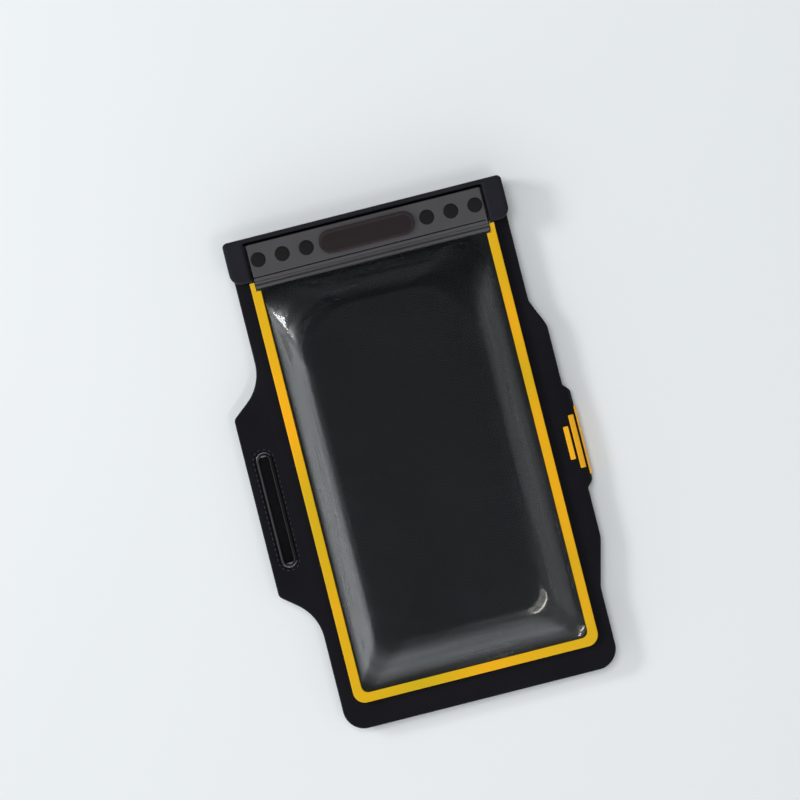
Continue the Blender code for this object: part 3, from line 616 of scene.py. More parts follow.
def carrier_place(x, y, height):
    """Where a point of the flat carrier lies: its own place left of the bend, with a slow ripple,
    and round the bend beyond it."""
    ripple = 0.05 * MM * np.sin(TAU * x / (41 * MM) + 1.3) * np.sin(TAU * y / (57 * MM))
    bent_x, bent_z = bend_round(x - BEND_X, height)
    flat = x < BEND_X
    still = bell(np.minimum(x - HALF_WIDTH, 0), 20 * MM)
    return np.stack([np.where(flat, x, bent_x), y, bent_z + ripple * (1 - still)], -1)


def grid_faces(rows, columns, wrap):
    """The quads of a grid of points that are numbered row by row."""
    row, column = np.meshgrid(
        np.arange(rows - 1), np.arange(columns if wrap else columns - 1), indexing="ij"
    )
    beside = (column + 1) % columns
    low, high = row * columns, (row + 1) * columns
    return np.stack([low + column, low + beside, high + beside, high + column], -1).reshape(-1, 4)


def tidy_mesh(mesh, closed):
    """Merges doubles at seams and poles. A closed shell gets its faces turned outwards, and an open
    sheet is turned as a whole."""
    shape = bmesh.new()
    shape.from_mesh(mesh)
    bmesh.ops.remove_doubles(shape, verts=shape.verts, dist=SAME_PLACE)
    bmesh.ops.dissolve_degenerate(shape, edges=shape.edges, dist=SAME_PLACE / 2)
    if closed:
        bmesh.ops.recalc_face_normals(shape, faces=shape.faces)
    shape.to_mesh(mesh)
    shape.free()
    if not closed:
        centres = np.empty(len(mesh.polygons) * 3)
        normals = np.empty(len(mesh.polygons) * 3)
        mesh.polygons.foreach_get("center", centres)
        mesh.polygons.foreach_get("normal", normals)
        outwards = centres.reshape(-1, 3) - centres.reshape(-1, 3).mean(0)
        if (outwards * normals.reshape(-1, 3)).sum() < 0:
            mesh.flip_normals()


def make_piece(name, slot, finish, grids, replaced=(), flat=None, closed=True, keep=None, sharp=40):
    """One object from grids of points, each with whether its columns close up. A grid may hold many
    copies. Flat gives each point's place on the sheet as it was cut, and keep says from a face's
    centre whether it stays."""
    vertices, faces, total = [], [], 0
    for points, wrap in grids:
        rows, columns = points.shape[-3:-1]
        copies = points.size // (rows * columns * 3)
        starts = total + np.arange(copies) * rows * columns
        one = grid_faces(rows, columns, wrap)
        faces.append((one[None] + starts[:, None, None]).reshape(-1, 4))
        vertices.append(points.reshape(-1, 3))
        total += copies * rows * columns
    vertices = np.concatenate(vertices)
    faces = np.concatenate(faces)
    if keep is not None:
        faces = faces[keep(vertices[faces].mean(1))]
    mesh = bpy.data.meshes.new(name)
    mesh.from_pydata(vertices, [], faces)
    if flat is not None:
        places = mesh.attributes.new("flat_place", "FLOAT_VECTOR", "POINT")
        cut = np.concatenate([part.reshape(-1, 3) for part in flat])
        places.data.foreach_set("vector", cut.astype(np.float32).ravel())
    tidy_mesh(mesh, closed)
    return add_object(name, mesh, slot, finish, replaced, sharp)


def add_object(name, mesh, slot, finish, replaced=(), sharp=40):
    """Puts a mesh in the scene with its finish, on the one body, in place of the CAD nodes."""
    mesh.shade_smooth()
    mesh.set_sharp_from_angle(angle=math.radians(sharp))
    mesh.materials.clear()
    mesh.materials.append(finish)
    obj = bpy.data.objects.new(name, mesh)
    bpy.context.scene.collection.objects.link(obj)
    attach(obj, "root")
    if replaced:
        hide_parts(*replaced)
    return obj


def cut_away(obj, cutter):
    """Takes the cutter's shape out of the object and removes the cutter."""
    cutting = obj.modifiers.new("cut", "BOOLEAN")
    cutting.operation = "DIFFERENCE"
    cutting.solver = "EXACT"
    cutting.object = cutter
    graph = bpy.context.evaluated_depsgraph_get()
    mesh = bpy.data.meshes.new_from_object(obj.evaluated_get(graph))
    obj.modifiers.clear()
    obj.data = mesh
    mesh.shade_smooth()
    mesh.set_sharp_from_angle(angle=math.radians(35))
    bpy.data.objects.remove(cutter)
    return obj


def both_faces(along, across, half, placed, wrap=False):
    """The upper and the lower surface of a sheet, and its points as it was cut. Placed says where a
    point of the flat sheet lies at a height above the sheet's middle."""
    upper, lower = half if isinstance(half, tuple) else (half, half)
    grids = [(placed(along, across, upper), wrap), (placed(along, across, -lower), wrap)]
    cut = np.stack([along, across, np.zeros_like(along)], -1)
    return grids, [cut, cut]


def level_place(middle, extra=None):
    """A rule that lays a sheet flat with its middle at that level, plus an extra height."""
    def placed(x, y, height):
        """The same spot, at the middle's level plus the height and the extra."""
        raised = middle + height + (extra(x, y) if extra else 0)
        return np.stack([x, y, raised + np.zeros_like(x)], -1)
    return placed


def flat_plate(name, slot, finish, low, high, radii, edge, replaced, counts, profile=None):
    """A rounded plate between two corners: rings from its middle line out to its edge, with the
    edge rounded over a short reach. Profile adds a height to the upper face by the inset, which is
    also the third part of the plate's flat place."""
    widest = min(high[0] - low[0], high[1] - low[1]) / 2
    insets = np.unique(np.concatenate([
        closing(edge), np.linspace(edge, widest, 9),
        [] if profile is None else np.linspace(0, widest * 0.5, 26),
    ]))
    rings, depth = inset_rings(low, high, radii, insets, counts)
    half = (high[2] - low[2]) / 2 * edge_round(depth, edge)
    upper = half + (profile(depth) * edge_round(depth, edge) if profile else 0)
    placed = level_place((low[2] + high[2]) / 2)
    grids, cut = both_faces(rings[..., 0], rings[..., 1], (upper, half), placed, wrap=True)
    cut = [np.concatenate([rings, depth[..., None]], -1)] * 2
    return make_piece(name, slot, finish, grids, replaced, cut)


def carrier_corners():
    """The corners of the carrier laid flat, as (x, y, radius), down the left side and up the right:
    those below the tongue, those of the tongue and those above it."""
    left, right, top, bottom = -HALF_WIDTH, HALF_WIDTH, panel_high.y, panel_low.y
    shoulder = WING_X + TONGUE_SHOULDER_LENGTH
    root_low = TONGUE_LOW_Y - TONGUE_SHOULDER_DEPTH
    root_high = TONGUE_HIGH_Y + TONGUE_SHOULDER_DEPTH
    below = [
        (left, top, TOP_RADIUS),
        (left, LEFT_WING_TOP + LEFT_WING_SLOPE, LEFT_WING_ROOT_RADIUS),
        (panel_low.x, LEFT_WING_TOP, LEFT_WING_TIP_RADIUS),
        (panel_low.x, LEFT_WING_BOTTOM, LEFT_WING_TIP_RADIUS),
        (left, LEFT_WING_BOTTOM - LEFT_WING_SLOPE, LEFT_WING_ROOT_RADIUS),
        (left, bottom, BOTTOM_RADIUS),
        (right, bottom, BOTTOM_RADIUS),
        (right, RIGHT_WING_BOTTOM - RIGHT_WING_BOTTOM_SLOPE, RIGHT_WING_RADIUS),
        (WING_X, RIGHT_WING_BOTTOM, RIGHT_WING_RADIUS),
    ]
    tongue = [
        (WING_X, root_low, TONGUE_ROOT_RADIUS),
        (shoulder, TONGUE_LOW_Y, TONGUE_CORNER_RADIUS),
        (TONGUE_FLAT_END, TONGUE_LOW_Y, TONGUE_CORNER_RADIUS),
        (TONGUE_FLAT_END, TONGUE_HIGH_Y, TONGUE_CORNER_RADIUS),
        (shoulder, TONGUE_HIGH_Y, TONGUE_CORNER_RADIUS),
        (WING_X, root_high, TONGUE_ROOT_RADIUS),
    ]
    above = [
        (WING_X, RIGHT_WING_TOP, RIGHT_WING_RADIUS),
        (right, RIGHT_WING_TOP + RIGHT_WING_TOP_SLOPE, RIGHT_WING_RADIUS),
        (right, top, TOP_RADIUS),
    ]
    return below, tongue, above


def side_of(outline, sign):
    """The left or the right side of an outline as (y, x), from its lowest point up."""
    side = outline[outline[:, 0] * sign > 0]
    order = np.argsort(side[:, 1], kind="stable")
    return side[order, 1], side[order, 0]


def tongue_seam():
    """The box seam with its cross that holds the strap on the tongue, as lines on the flat cloth."""
    far = TONGUE_FLAT_END - SEAM_INSET
    near = BEND_X + BEND_LENGTH + 2 * MM
    low = TONGUE_LOW_Y + SEAM_INSET
    high = TONGUE_HIGH_Y - SEAM_INSET
    box = np.array([[near, low], [far, low], [far, high], [near, high], [near, low]])
    return [box, box[[0, 2]], box[[1, 3]]]


def slot_spine(y):
    """The nearest level on the slot's middle line, which ends where its round ends begin."""
    return np.clip(y, SLOT_Y - SLOT_SPINE, SLOT_Y + SLOT_SPINE)


def slot_ring(offset, longer=0.0):
    """A line round the slot, that far outside the rim: a bar with round ends."""
    radius = (rim_high.x - rim_low.x) / 2 + offset
    low = (SLOT_X - radius, SLOT_Y - SLOT_SPINE - radius - longer)
    high = (SLOT_X + radius, SLOT_Y + SLOT_SPINE + radius + longer)
    return rounded_outline(
        [(low[0], low[1], radius), (high[0], low[1], radius), (high[0], high[1], radius),
         (low[0], high[1], radius)]
    )


def carrier_half(x, y, outline, hole):
    """Half the carrier's thickness, above and below its middle: rounded off at the outline and at
    the slot, and drawn in along the seams."""
    edge = np.minimum(distance_to(outline, x, y), np.maximum(hole, 0))
    full = CARRIER_THICK / 2 * edge_round(edge, CARRIER_EDGE)
    ring = bell(distance_to(slot_ring(SLOT_SEAM_OFFSET, SLOT_SEAM_LONGER), x, y), 0.75 * MM)
    seams = [distance_to(line, x, y, closed=False) for line in tongue_seam()]
    seam = bell(np.min(seams, 0), 0.9 * MM)
    side = np.abs(x) - HALF_WIDTH + 0.5 * MM
    on_wing = np.clip((46 * MM - np.abs(y + 4 * MM)) / (14 * MM), 0, 1)
    margin = np.abs(x) - (HALF_WIDTH + band_high.x) / 2
    full = full + 0.09 * MM * bell(margin, 2.2 * MM) * (full > 0.8 * MM)
    above = full - 0.22 * MM * ring - 0.30 * MM * seam
    above = above - 0.07 * MM * bell(side, 0.5 * MM) * on_wing
    below = full - 0.15 * MM * ring - 0.20 * MM * seam
    return np.where(full > 0, np.maximum(above, 0), 0), np.where(full > 0, np.maximum(below, 0), 0)


def make_carrier(finish):
    """The carrier cloth. The panel is a grid of rows up the pouch, each from the left edge to the
    right one, and the tongue is a grid of rows outwards whose first row is the panel's right edge
    there. Points inside the slot move to the slot's outline, a bar with round ends."""
    below, tongue, above = carrier_corners()
    outline = rounded_outline(below + tongue + above)
    plain = rounded_outline(below + above)
    left_y, left_x = side_of(plain, -1)
    right_y, right_x = side_of(plain, 1)
    on_tongue = outline[outline[:, 0] > WING_X + 0.001 * MM]
    turn = math.atan2(TONGUE_SHOULDER_LENGTH, TONGUE_SHOULDER_DEPTH)
    reach = TONGUE_ROOT_RADIUS * math.tan(turn / 2)
    root_low = TONGUE_LOW_Y - TONGUE_SHOULDER_DEPTH - reach
    root_high = TONGUE_HIGH_Y + TONGUE_SHOULDER_DEPTH + reach
    pitch = 0.85 * MM
    rows = np.concatenate([
        steps_between(panel_low.y, root_low, pitch, CARRIER_EDGE)[:-1],
        steps_between(root_low, root_high, pitch, CARRIER_EDGE),
        steps_between(root_high, panel_high.y, pitch, CARRIER_EDGE)[1:],
    ])
    starts = np.interp(rows, left_y, left_x)[:, None]
    ends = np.interp(rows, right_y, right_x)[:, None]
    close = closing(CARRIER_EDGE)[None]
    shares = np.concatenate([np.linspace(0, 0.14, 28)[:-1], np.linspace(0.14, 1, 70)])[None, 1:-1]
    middle = starts + CARRIER_EDGE + (ends - starts - 2 * CARRIER_EDGE) * shares
    x = np.concatenate([starts + close, middle, (ends - close)[:, ::-1]], 1)
    y = rows[:, None] + np.zeros_like(x)
    spine_y = slot_spine(y)
    away = np.hypot(x - SLOT_X, y - spine_y)
    hole = away - SLOT_HOLE_RADIUS
    inside = hole < 0
    scale = np.where(inside, SLOT_HOLE_RADIUS / np.maximum(away, 0.01 * MM), 1)
    x = np.where(inside, SLOT_X + (x - SLOT_X) * scale, x)
    y = np.where(inside, spine_y + (y - spine_y) * scale, y)
    half = carrier_half(x, y, outline, hole)
    grids, cut = both_faces(x, y, half, carrier_place)

    root_shares = (rows[(rows >= root_low) & (rows <= root_high)] - root_low) / (root_high - root_low)
    out = np.concatenate([
        steps_between(WING_X, WING_X + 6 * MM, 0.35 * MM),
        steps_between(WING_X + 6 * MM, TONGUE_FLAT_END - CARRIER_EDGE, 0.6 * MM)[1:],
        TONGUE_FLAT_END - closing(CARRIER_EDGE)[::-1][1:],
    ])
    lower = on_tongue[on_tongue[:, 1] < SLOT_Y]
    upper = on_tongue[on_tongue[:, 1] > SLOT_Y][::-1]
    low_y = np.interp(out, np.append(WING_X, lower[:, 0]), np.append(root_low, lower[:, 1]))
    high_y = np.interp(out, np.append(WING_X, upper[:, 0]), np.append(root_high, upper[:, 1]))
    tongue_x = out[:, None] + np.zeros_like(root_shares)[None]
    tongue_y = low_y[:, None] + (high_y - low_y)[:, None] * root_shares[None]
    tongue_half = carrier_half(tongue_x, tongue_y, outline, np.full(tongue_x.shape, 1.0))
    more, more_cut = both_faces(tongue_x, tongue_y, tongue_half, carrier_place)

    def outside_slot(centres):
        """Whether a face's centre is farther from the slot's middle line than the hole reaches."""
        gone = np.hypot(centres[:, 0] - SLOT_X, centres[:, 1] - slot_spine(centres[:, 1]))
        return gone > SLOT_HOLE_RADIUS - 0.02 * MM

    carrier = make_piece(
        "carrier_cloth", "carrier_fabric", finish, grids + more, ["carrier_panel"], cut + more_cut,
        keep=outside_slot,
    )


def place_stitches(name, slot, finish, paths, up, pitch, length, radius, height):
    """Sewing thread along paths, each a bead of a length for every pitch: rings about a line that
    bows by the square of the way from its middle, with a radius that falls to nothing at both ends."""
    middles, headings = [], []
    for path in paths:
        steps = np.diff(path, axis=0)
        gone = np.concatenate([[0], np.cumsum(np.linalg.norm(steps, axis=1))])
        count = max(1, round(gone[-1] / pitch))
        at = (np.arange(count) + 0.5) * gone[-1] / count
        spots = [np.stack([np.interp(at + shift, gone, path[:, k]) for k in range(3)], -1)
                 for shift in (-length / 3, length / 3)]
        middles.append((spots[0] + spots[1]) / 2)
        headings.append(spots[1] - spots[0])
    middle = np.concatenate(middles)[:, None, None]
    heading = np.concatenate(headings)[:, None, None]
    heading = heading / np.linalg.norm(heading, axis=-1, keepdims=True)
    up = np.array(up, float)
    side = np.cross(up, heading)
    run = np.linspace(-1, 1, 9)[None, :, None, None]
    turn = np.linspace(0, TAU, 9)[:-1][None, None, :, None]
    thick = radius * np.sqrt(np.clip(1 - np.abs(run) ** 3, 0, 1))
    points = (
        middle + heading * run * length / 2 + side * thick * np.cos(turn)
        + up * (height - 0.6 * radius * run ** 2 + thick * np.sin(turn))
    )
    return make_piece(name, slot, finish, [(points, True)])


def make_slot_rim(finish):
    """The moulded rim: one section carried round the slot. The section is a closed curve, a wall
    along the slot with a rolled crest that falls away outwards onto the cloth."""
    crest, low = rim_high.z, rim_low.z
    section = np.array([
        (0.00, low), (0.00, crest - 0.9 * MM), (0.02 * MM, crest - 0.42 * MM),
        (0.10 * MM, crest - 0.15 * MM), (0.22 * MM, crest - 0.03 * MM), (0.36 * MM, crest),
        (0.50 * MM, crest - 0.07 * MM), (0.62 * MM, crest - 0.22 * MM),
        (0.76 * MM, crest - 0.42 * MM), (0.92 * MM, crest - 0.58 * MM),
        (RIM_BAND, crest - 0.66 * MM), (RIM_BAND, low), (0.8 * MM, low), (0.3 * MM, low),
    ])
    path = slot_ring(-RIM_BAND)
    outwards = np.stack([path[:, 0] - SLOT_X, path[:, 1] - slot_spine(path[:, 1])], -1)
    outwards /= np.linalg.norm(outwards, axis=-1, keepdims=True)
    plan = path[:, None] + outwards[:, None] * section[None, :, :1]
    levels = np.broadcast_to(section[None, :, 1:], (*plan.shape[:2], 1))
    ring = np.concatenate([plan, levels], -1)
    ring = np.concatenate([ring, ring[:1]])
    make_piece("slot_moulding", "rim_rubber", finish, [(ring, True)], ["slot_rim"], sharp=50)


def strap_line():
    """The middle of the webbing as (x, z): over the end of the tongue, down a ramp that eases in
    and out, left to the half circle of the fold, and back over its own lower run."""
    low = STRAP_THICK / 2
    high = strap_high.z - STRAP_THICK / 2
    radius = (high - low) / 2
    share = np.linspace(0, 1, 15)
    eased = share * share * (3 - 2 * share)
    angle = np.linspace(0, math.pi, 25)
    sewn = np.stack([np.linspace(strap_high.x, STRAP_RAMP[0], 9), np.full(9, STRAP_SEAM_Z)], -1)
    ramp_x = STRAP_RAMP[0] + (STRAP_RAMP[1] - STRAP_RAMP[0]) * share
    ramp = np.stack([ramp_x, STRAP_SEAM_Z + (low - STRAP_SEAM_Z) * eased], -1)
    lower = np.stack([np.linspace(STRAP_RAMP[1], STRAP_FOLD_X, 80), np.full(80, low)], -1)
    fold_x = STRAP_FOLD_X - radius * np.sin(angle)
    fold = np.stack([fold_x, low + radius * (1 - np.cos(angle))], -1)
    upper = np.stack([np.linspace(STRAP_FOLD_X, STRAP_END_X, 80), np.full(80, high)], -1)
    return np.concatenate([sewn, ramp[1:], lower[1:], fold[1:], upper[1:]])


def patch_seam():
    """The seam that holds the loop patch, as corners on the strap's lower run."""
    low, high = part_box("loop_patch")
    inset = 1.5 * MM
    x = (low.x + inset, high.x - inset)
    y = (low.y + inset, high.y - inset)
    return np.array([[x[0], y[0]], [x[1], y[0]], [x[1], y[1]], [x[0], y[1]], [x[0], y[0]]])


def make_strap(finish):
    """The elastic webbing: rows along its line and columns across it, with ribs along its length
    that are a cosine across the width, drawn in along the seam of the patch, and a little wider
    about its fold, by a bell, so that the slot is dark to its ends."""
    line = strap_line()
    steps = np.diff(line, axis=0)
    gone = np.concatenate([[0], np.cumsum(np.hypot(steps[:, 0], steps[:, 1]))])
    edge = 0.7 * MM
    close = closing(edge, 6)[:-1]
    along = np.unique(np.concatenate([gone, close, gone[-1] - close]))
    heading_x = np.interp(along, gone, np.gradient(line[:, 0], gone))
    heading_z = np.interp(along, gone, np.gradient(line[:, 1], gone))
    norm = np.hypot(heading_x, heading_z)
    middle_x = np.interp(along, gone, line[:, 0])
    middle_z = np.interp(along, gone, line[:, 1])
    across = steps_between(strap_low.y, strap_high.y, RIB_PITCH / 6, edge)
    middle_y = (strap_low.y + strap_high.y) / 2
    wider = 1 + STRAP_SPREAD * bell(middle_x - STRAP_FOLD_X, 14 * MM)
    s, y = np.meshgrid(along, across, indexing="ij")
    inset = np.minimum(np.minimum(s, gone[-1] - s), np.minimum(y - strap_low.y, strap_high.y - y))
    valley = 0.5 - 0.5 * np.cos(TAU * (y - strap_low.y) / RIB_PITCH)
    half = (STRAP_THICK / 2 - RIB_DEPTH * valley) * edge_round(inset, edge)
    on_lower = middle_z < STRAP_THICK * 0.55
    plan_x = np.where(on_lower, middle_x, 1.0)[:, None] + np.zeros_like(y)
    seam = distance_to(patch_seam(), plan_x, y, closed=False)
    drawn = 0.28 * MM * bell(seam, 0.8 * MM)

    def placed(s_here, y_here, height):
        """Off the strap's line by the height, square to it, and spread from the middle."""
        return np.stack([
            middle_x[:, None] - heading_z[:, None] / norm[:, None] * height,
            middle_y + (y_here - middle_y) * wider[:, None],
            middle_z[:, None] + heading_x[:, None] / norm[:, None] * height,
        ], -1)

    grids, cut = both_faces(s, y, (half - drawn * (half > 0.3 * MM), half), placed)
    strap = make_piece("strap_webbing", "elastic_webbing", finish, grids, ["arm_strap"], cut)


def make_patches(hook_finish, loop_finish):
    """The two halves of the strap's fastening: rounded plates with soft edges."""
    for name, node, slot, finish in (
        ("hook_tape", "hook_patch", "hook_nylon", hook_finish),
        ("loop_tape", "loop_patch", "loop_pile", loop_finish),
    ):
        low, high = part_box(node)
        flat_plate(name, slot, finish, low, high, (2 * MM,) * 4, 0.3 * MM, [node], (60, 30, 8))


def make_bars(finish):
    """The reflective bars: thin plates with rounded corners, laid on the outside of the bend."""
    for k in range(3):
        node = f"reflective_bar_{k + 1}"
        low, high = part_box(node)
        start = BEND_X + k * BAR_PITCH - BAR_START
        edge = 0.12 * MM
        insets = np.concatenate([closing(edge, 5), np.linspace(edge, BAR_WIDTH / 2, 6)[1:]])
        corners = ((start, low.y), (start + BAR_WIDTH, high.y))
        rings, depth = inset_rings(*corners, (0.3 * MM,) * 4, insets, (10, 60, 6))
        half = BAR_THICK / 2 * edge_round(depth, edge)
        middle = CARRIER_THICK / 2 + GAP + BAR_THICK / 2

        def placed(x, y, height):
            """Round the tongue's bend, at the bars' level plus the height."""
            bent_x, bent_z = bend_round(x - BEND_X, middle + height)
            return np.stack([bent_x, y, bent_z], -1)

        grids, cut = both_faces(rings[..., 0], rings[..., 1], half, placed, wrap=True)
        make_piece(f"bar_transfer_{k + 1}", "reflective_yellow", finish, grids, [node], cut)


def make_rear_film(finish):
    """The back wall of the pocket: rings from its middle line out, flat on the carrier and lifted
    at the closure, with slow waves inside the pocket, where nothing holds it down."""
    close = np.array([0, 0.03, 0.08, 0.15, 0.3]) * MM
    insets = np.append(close, np.linspace(0.6 * MM, wall_high.x, 44))
    rings, depth = inset_rings(wall_low, wall_high, FILM_RADII, insets, (60, 120, 8))
    x, y = rings[..., 0], rings[..., 1]
    half = FILM_THICK / 2 * edge_round(depth, 0.2 * MM)
    middle = wall_low.z + FILM_THICK / 2

    def waves(x, y):
        """The closure's lift, and two sines that straight ramps fade out towards the rim."""
        loose = np.clip((WINDOW_X - np.abs(x)) / (12 * MM), 0, 1)
        loose = loose * np.clip((75 * MM - np.abs(y)) / (15 * MM), 0, 1)
        slow = np.sin(TAU * y / (63 * MM) + 1.1 * np.sin(TAU * x / (71 * MM)))
        quick = np.sin(TAU * x / (37 * MM) + 0.8 * np.sin(TAU * y / (49 * MM)) + 0.6)
        return lift(y) + 0.35 * MM * loose * (1 + 0.5 * slow + 0.5 * quick)

    grids, cut = both_faces(x, y, half, level_place(middle, waves), wrap=True)
    film = make_piece("back_film", "rear_film", finish, grids, ["rear_wall"], cut)


def film_rings():
    """The rings of the clear film and how far each is along its way: from -1 on the welded edge, by
    0 at the window's edge and 1 at the pocket's flat top, to 2 on the middle line of the top."""
    counts = (54, 104, 12)
    edge = np.array([wall_low.x, wall_low.y, wall_high.x, wall_high.y])
    window = np.array([-WINDOW_X, WINDOW_LOW_Y, WINDOW_X, lip_low.y])
    pocket = np.array([*POCKET_LOW, *POCKET_HIGH])
    edge_radii = np.array(FILM_RADII)
    window_radii = np.full(4, FRAME_INNER_RADIUS)
    pocket_radii = np.repeat([POCKET_LOW_RADIUS, POCKET_HIGH_RADIUS], 2)
    kink = (lip_high.y - lip_low.y) / (edge[3] - lip_low.y)
    ways = np.concatenate([
        -np.array([1, 0.99, 0.97, 0.94, 0.9, 0.6, kink, kink * 0.75, kink * 0.5, kink * 0.25]),
        np.linspace(0, 1, 37), 1 + np.linspace(0, 1, 25)[1:],
    ])
    rings = []
    for way in ways:
        if way <= 0:
            box = window + (edge - window) * -way
            radii = window_radii + (edge_radii - window_radii) * -way
        elif way <= 1:
            box = window + (pocket - window) * way
            radii = window_radii + (pocket_radii - window_radii) * way ** CORNER_TURN
        else:
            inset = (way - 1) * (pocket[2] - pocket[0]) / 2
            box = pocket + inset * np.array([1, 1, -1, -1])
            radii = np.maximum(pocket_radii * (2 - way), 0)
        rings.append(box_ring(box[:2], box[2:], radii, *counts))
    return np.array(rings), ways[:, None], counts


def film_folds(way, around, counts):
    """What stretching leaves in the clear film: a soft fold from each corner of the pocket to the
    corner of the frame, with a lower one on each side of it, and faint streaks along the sides."""
    across, along, arc = counts
    total = 2 * (across + along) + 4 * arc
    corners = np.array([0, arc + across, 2 * arc + across + along, 3 * arc + 2 * across + along])
    on_slope = np.clip(way, 0, 1)
    on_top = 0.35 * bell(way - 1.05, 0.25)
    mask = np.sin(on_slope * math.pi) ** 0.8 * (1 - 0.4 * on_slope) + on_top
    folds = np.zeros(np.broadcast(way, around).shape)
    for middle in corners + arc / 2:
        for offset, size, width in CORNER_FOLDS:
            apart = (around - middle - offset + total / 2) % total - total / 2
            folds = folds + size * bell(apart, width)
    share = around / total * TAU
    first = np.sin(on_slope * 19 + 0.9 * np.sin(5 * share))
    second = np.sin(on_slope * 33 + np.sin(7 * share))
    return MM * mask * (folds + STREAK_HEIGHT * (first + 0.5 * second))


def make_clear_film(finish):
    """The clear front film: rings from its welded edge, up the slopes as a power of a sine, to the
    flat top over the pocket, which sinks a little in its middle. A thin ridge runs round the top.
    The power is less at the upper left corner, where the film is drawn up sooner."""
    rings, ways, counts = film_rings()
    x, y = rings[..., 0], rings[..., 1]
    around = np.arange(x.shape[1])[None] + np.zeros_like(x)
    way = ways + np.zeros_like(x)
    rise = film_high.z - FILM_THICK - film_low.z
    across, along, arc_count = counts
    last_corner = 3 * arc_count + 2 * across + along + arc_count / 2
    at_corner = bell(around - last_corner - 2, 9)
    power = POCKET_SWELL + (CORNER_SWELL - POCKET_SWELL) * at_corner
    swell = np.sin(np.clip(way, 0, 1) * math.pi / 2) ** power
    over_top = np.clip(way - 1, 0, 1)
    sink = 0.9 * MM * np.sin(over_top * math.pi / 2) ** 2
    slack = np.sin(TAU * y / (67 * MM) + 1.2 * np.sin(TAU * x / (83 * MM))) * over_top
    shoulder = 0.11 * MM * bell(way - 0.97, 0.045)
    height = rise * swell - sink + 0.12 * MM * slack + shoulder + film_folds(way, around, counts)
    level = film_low.z + FILM_THICK / 2 + height + lift(y)
    run = np.hypot(np.gradient(x, axis=0), np.gradient(y, axis=0))
    slope = np.gradient(height, axis=0) / np.maximum(run, 0.05 * MM)
    depth = np.where(way < 0, (1 + way) * FRAME_BAND, FRAME_BAND)
    half = FILM_THICK / 2 * np.sqrt(1 + np.minimum(slope ** 2, 2)) * edge_round(depth, 0.2 * MM)

    def placed(x_here, y_here, height_here):
        """The same spot, at the film's own level plus the height."""
        return np.stack([x_here, y_here, level + height_here], -1)

    grids, cut = both_faces(x, y, half, placed, wrap=True)
    cut = [np.stack([x, y, way * SLOPE_LENGTH], -1)] * 2
    film = make_piece("front_film", "clear_film", finish, grids, ["window_film"], cut, sharp=70)


def mirrored(half):
    """A line that ends on the middle, followed by its mirror image in X."""
    other = half[::-1][1:] * np.array([-1, 1])
    return np.concatenate([half, other])


def arc(centre, radius, start, end, count):
    """Points of an arc about the centre, angles in degrees."""
    angle = np.radians(np.linspace(start, end, count))
    return np.array(centre) + radius * np.stack([np.cos(angle), np.sin(angle)], -1)


def straight(start, end, count):
    """Points of a straight run."""
    return np.array(start) + (np.array(end) - np.array(start)) * np.linspace(0, 1, count)[:, None]


def make_colour_frame(finish):
    """The yellow frame: a U whose rows join its inner line to its outer one, down the left arm,
    round the corner and to the middle, and mirrored. Beside the lip the arms get narrow."""
    outer_x, low, tip = band_high.x, band_low.y, band_high.y
    edge = 0.24 * MM
    narrow = np.concatenate([tip - closing(edge, 6), np.linspace(tip - edge, FRAME_STEP_Y, 8)[1:]])
    corner_y = low + FRAME_OUTER_RADIUS
    inner_corner_y = WINDOW_LOW_Y + FRAME_INNER_RADIUS
    step = FRAME_STEP_Y - 0.05 * MM
    outer = np.concatenate([
        np.stack([np.full(len(narrow), -outer_x), narrow], -1),
        straight((-outer_x, step), (-outer_x, corner_y), 110),
        arc((FRAME_OUTER_RADIUS - outer_x, corner_y), FRAME_OUTER_RADIUS, 180, 270, 16)[1:],
        straight((FRAME_OUTER_RADIUS - outer_x, low), (0, low), 40)[1:],
    ])
    tip_x = outer_x - FRAME_TIP_BAND
    inner = np.concatenate([
        np.stack([np.full(len(narrow), -tip_x), narrow], -1),
        straight((-WINDOW_X, step), (-WINDOW_X, inner_corner_y), 110),
        arc((FRAME_INNER_RADIUS - WINDOW_X, inner_corner_y), FRAME_INNER_RADIUS, 180, 270, 16)[1:],
        straight((FRAME_INNER_RADIUS - WINDOW_X, WINDOW_LOW_Y), (0, WINDOW_LOW_Y), 40)[1:],
    ])
    outer, inner = mirrored(outer), mirrored(inner)
    band = np.linalg.norm(outer - inner, axis=1)[:, None]
    close = closing(edge, 6)[None]
    middle = edge + (band - 2 * edge) * np.linspace(0, 1, 7)[None, 1:-1]
    offset = np.concatenate([close + 0 * band, middle, (band - close)[:, ::-1]], 1)
    share = (offset / band)[..., None]
    plan = inner[:, None] + (outer - inner)[:, None] * share
    inset = np.minimum(offset, band - offset)
    inset = np.minimum(inset, tip - plan[..., 1])
    half = FRAME_THICK / 2 * edge_round(inset, edge)
    middle_z = band_low.z + FRAME_THICK / 2
    grids, cut = both_faces(
        plan[..., 0], plan[..., 1], half, level_place(middle_z, lambda x, y: lift(y))
    )
    make_piece("yellow_frame", "frame_yellow", finish, grids, ["colour_frame"], cut)


def disc(place, radius, low, high, edge, crown=0.0):
    """A round button as a turned shape: rings from the middle of its top, over a rounded edge,
    down the wall and in again, with a top that is crowned by a little."""
    bend = np.linspace(0, math.pi / 2, 5)
    reach = np.concatenate([
        np.linspace(0, radius - edge, 6)[:-1], radius - edge + edge * np.sin(bend),
        [radius, radius - 0.1 * MM, 0],
    ])
    level = np.concatenate([
        high + crown * (1 - np.linspace(0, 1, 6)[:-1] ** 2), high - edge * (1 - np.cos(bend)),
        [low, low, low],
    ])
    turn = np.linspace(0, TAU, 49)[:-1]
    x = place[0] + reach[:, None] * np.cos(turn)
    y = place[1] + reach[:, None] * np.sin(turn)
    return np.stack([x, y, level[:, None] + np.zeros_like(x)], -1)


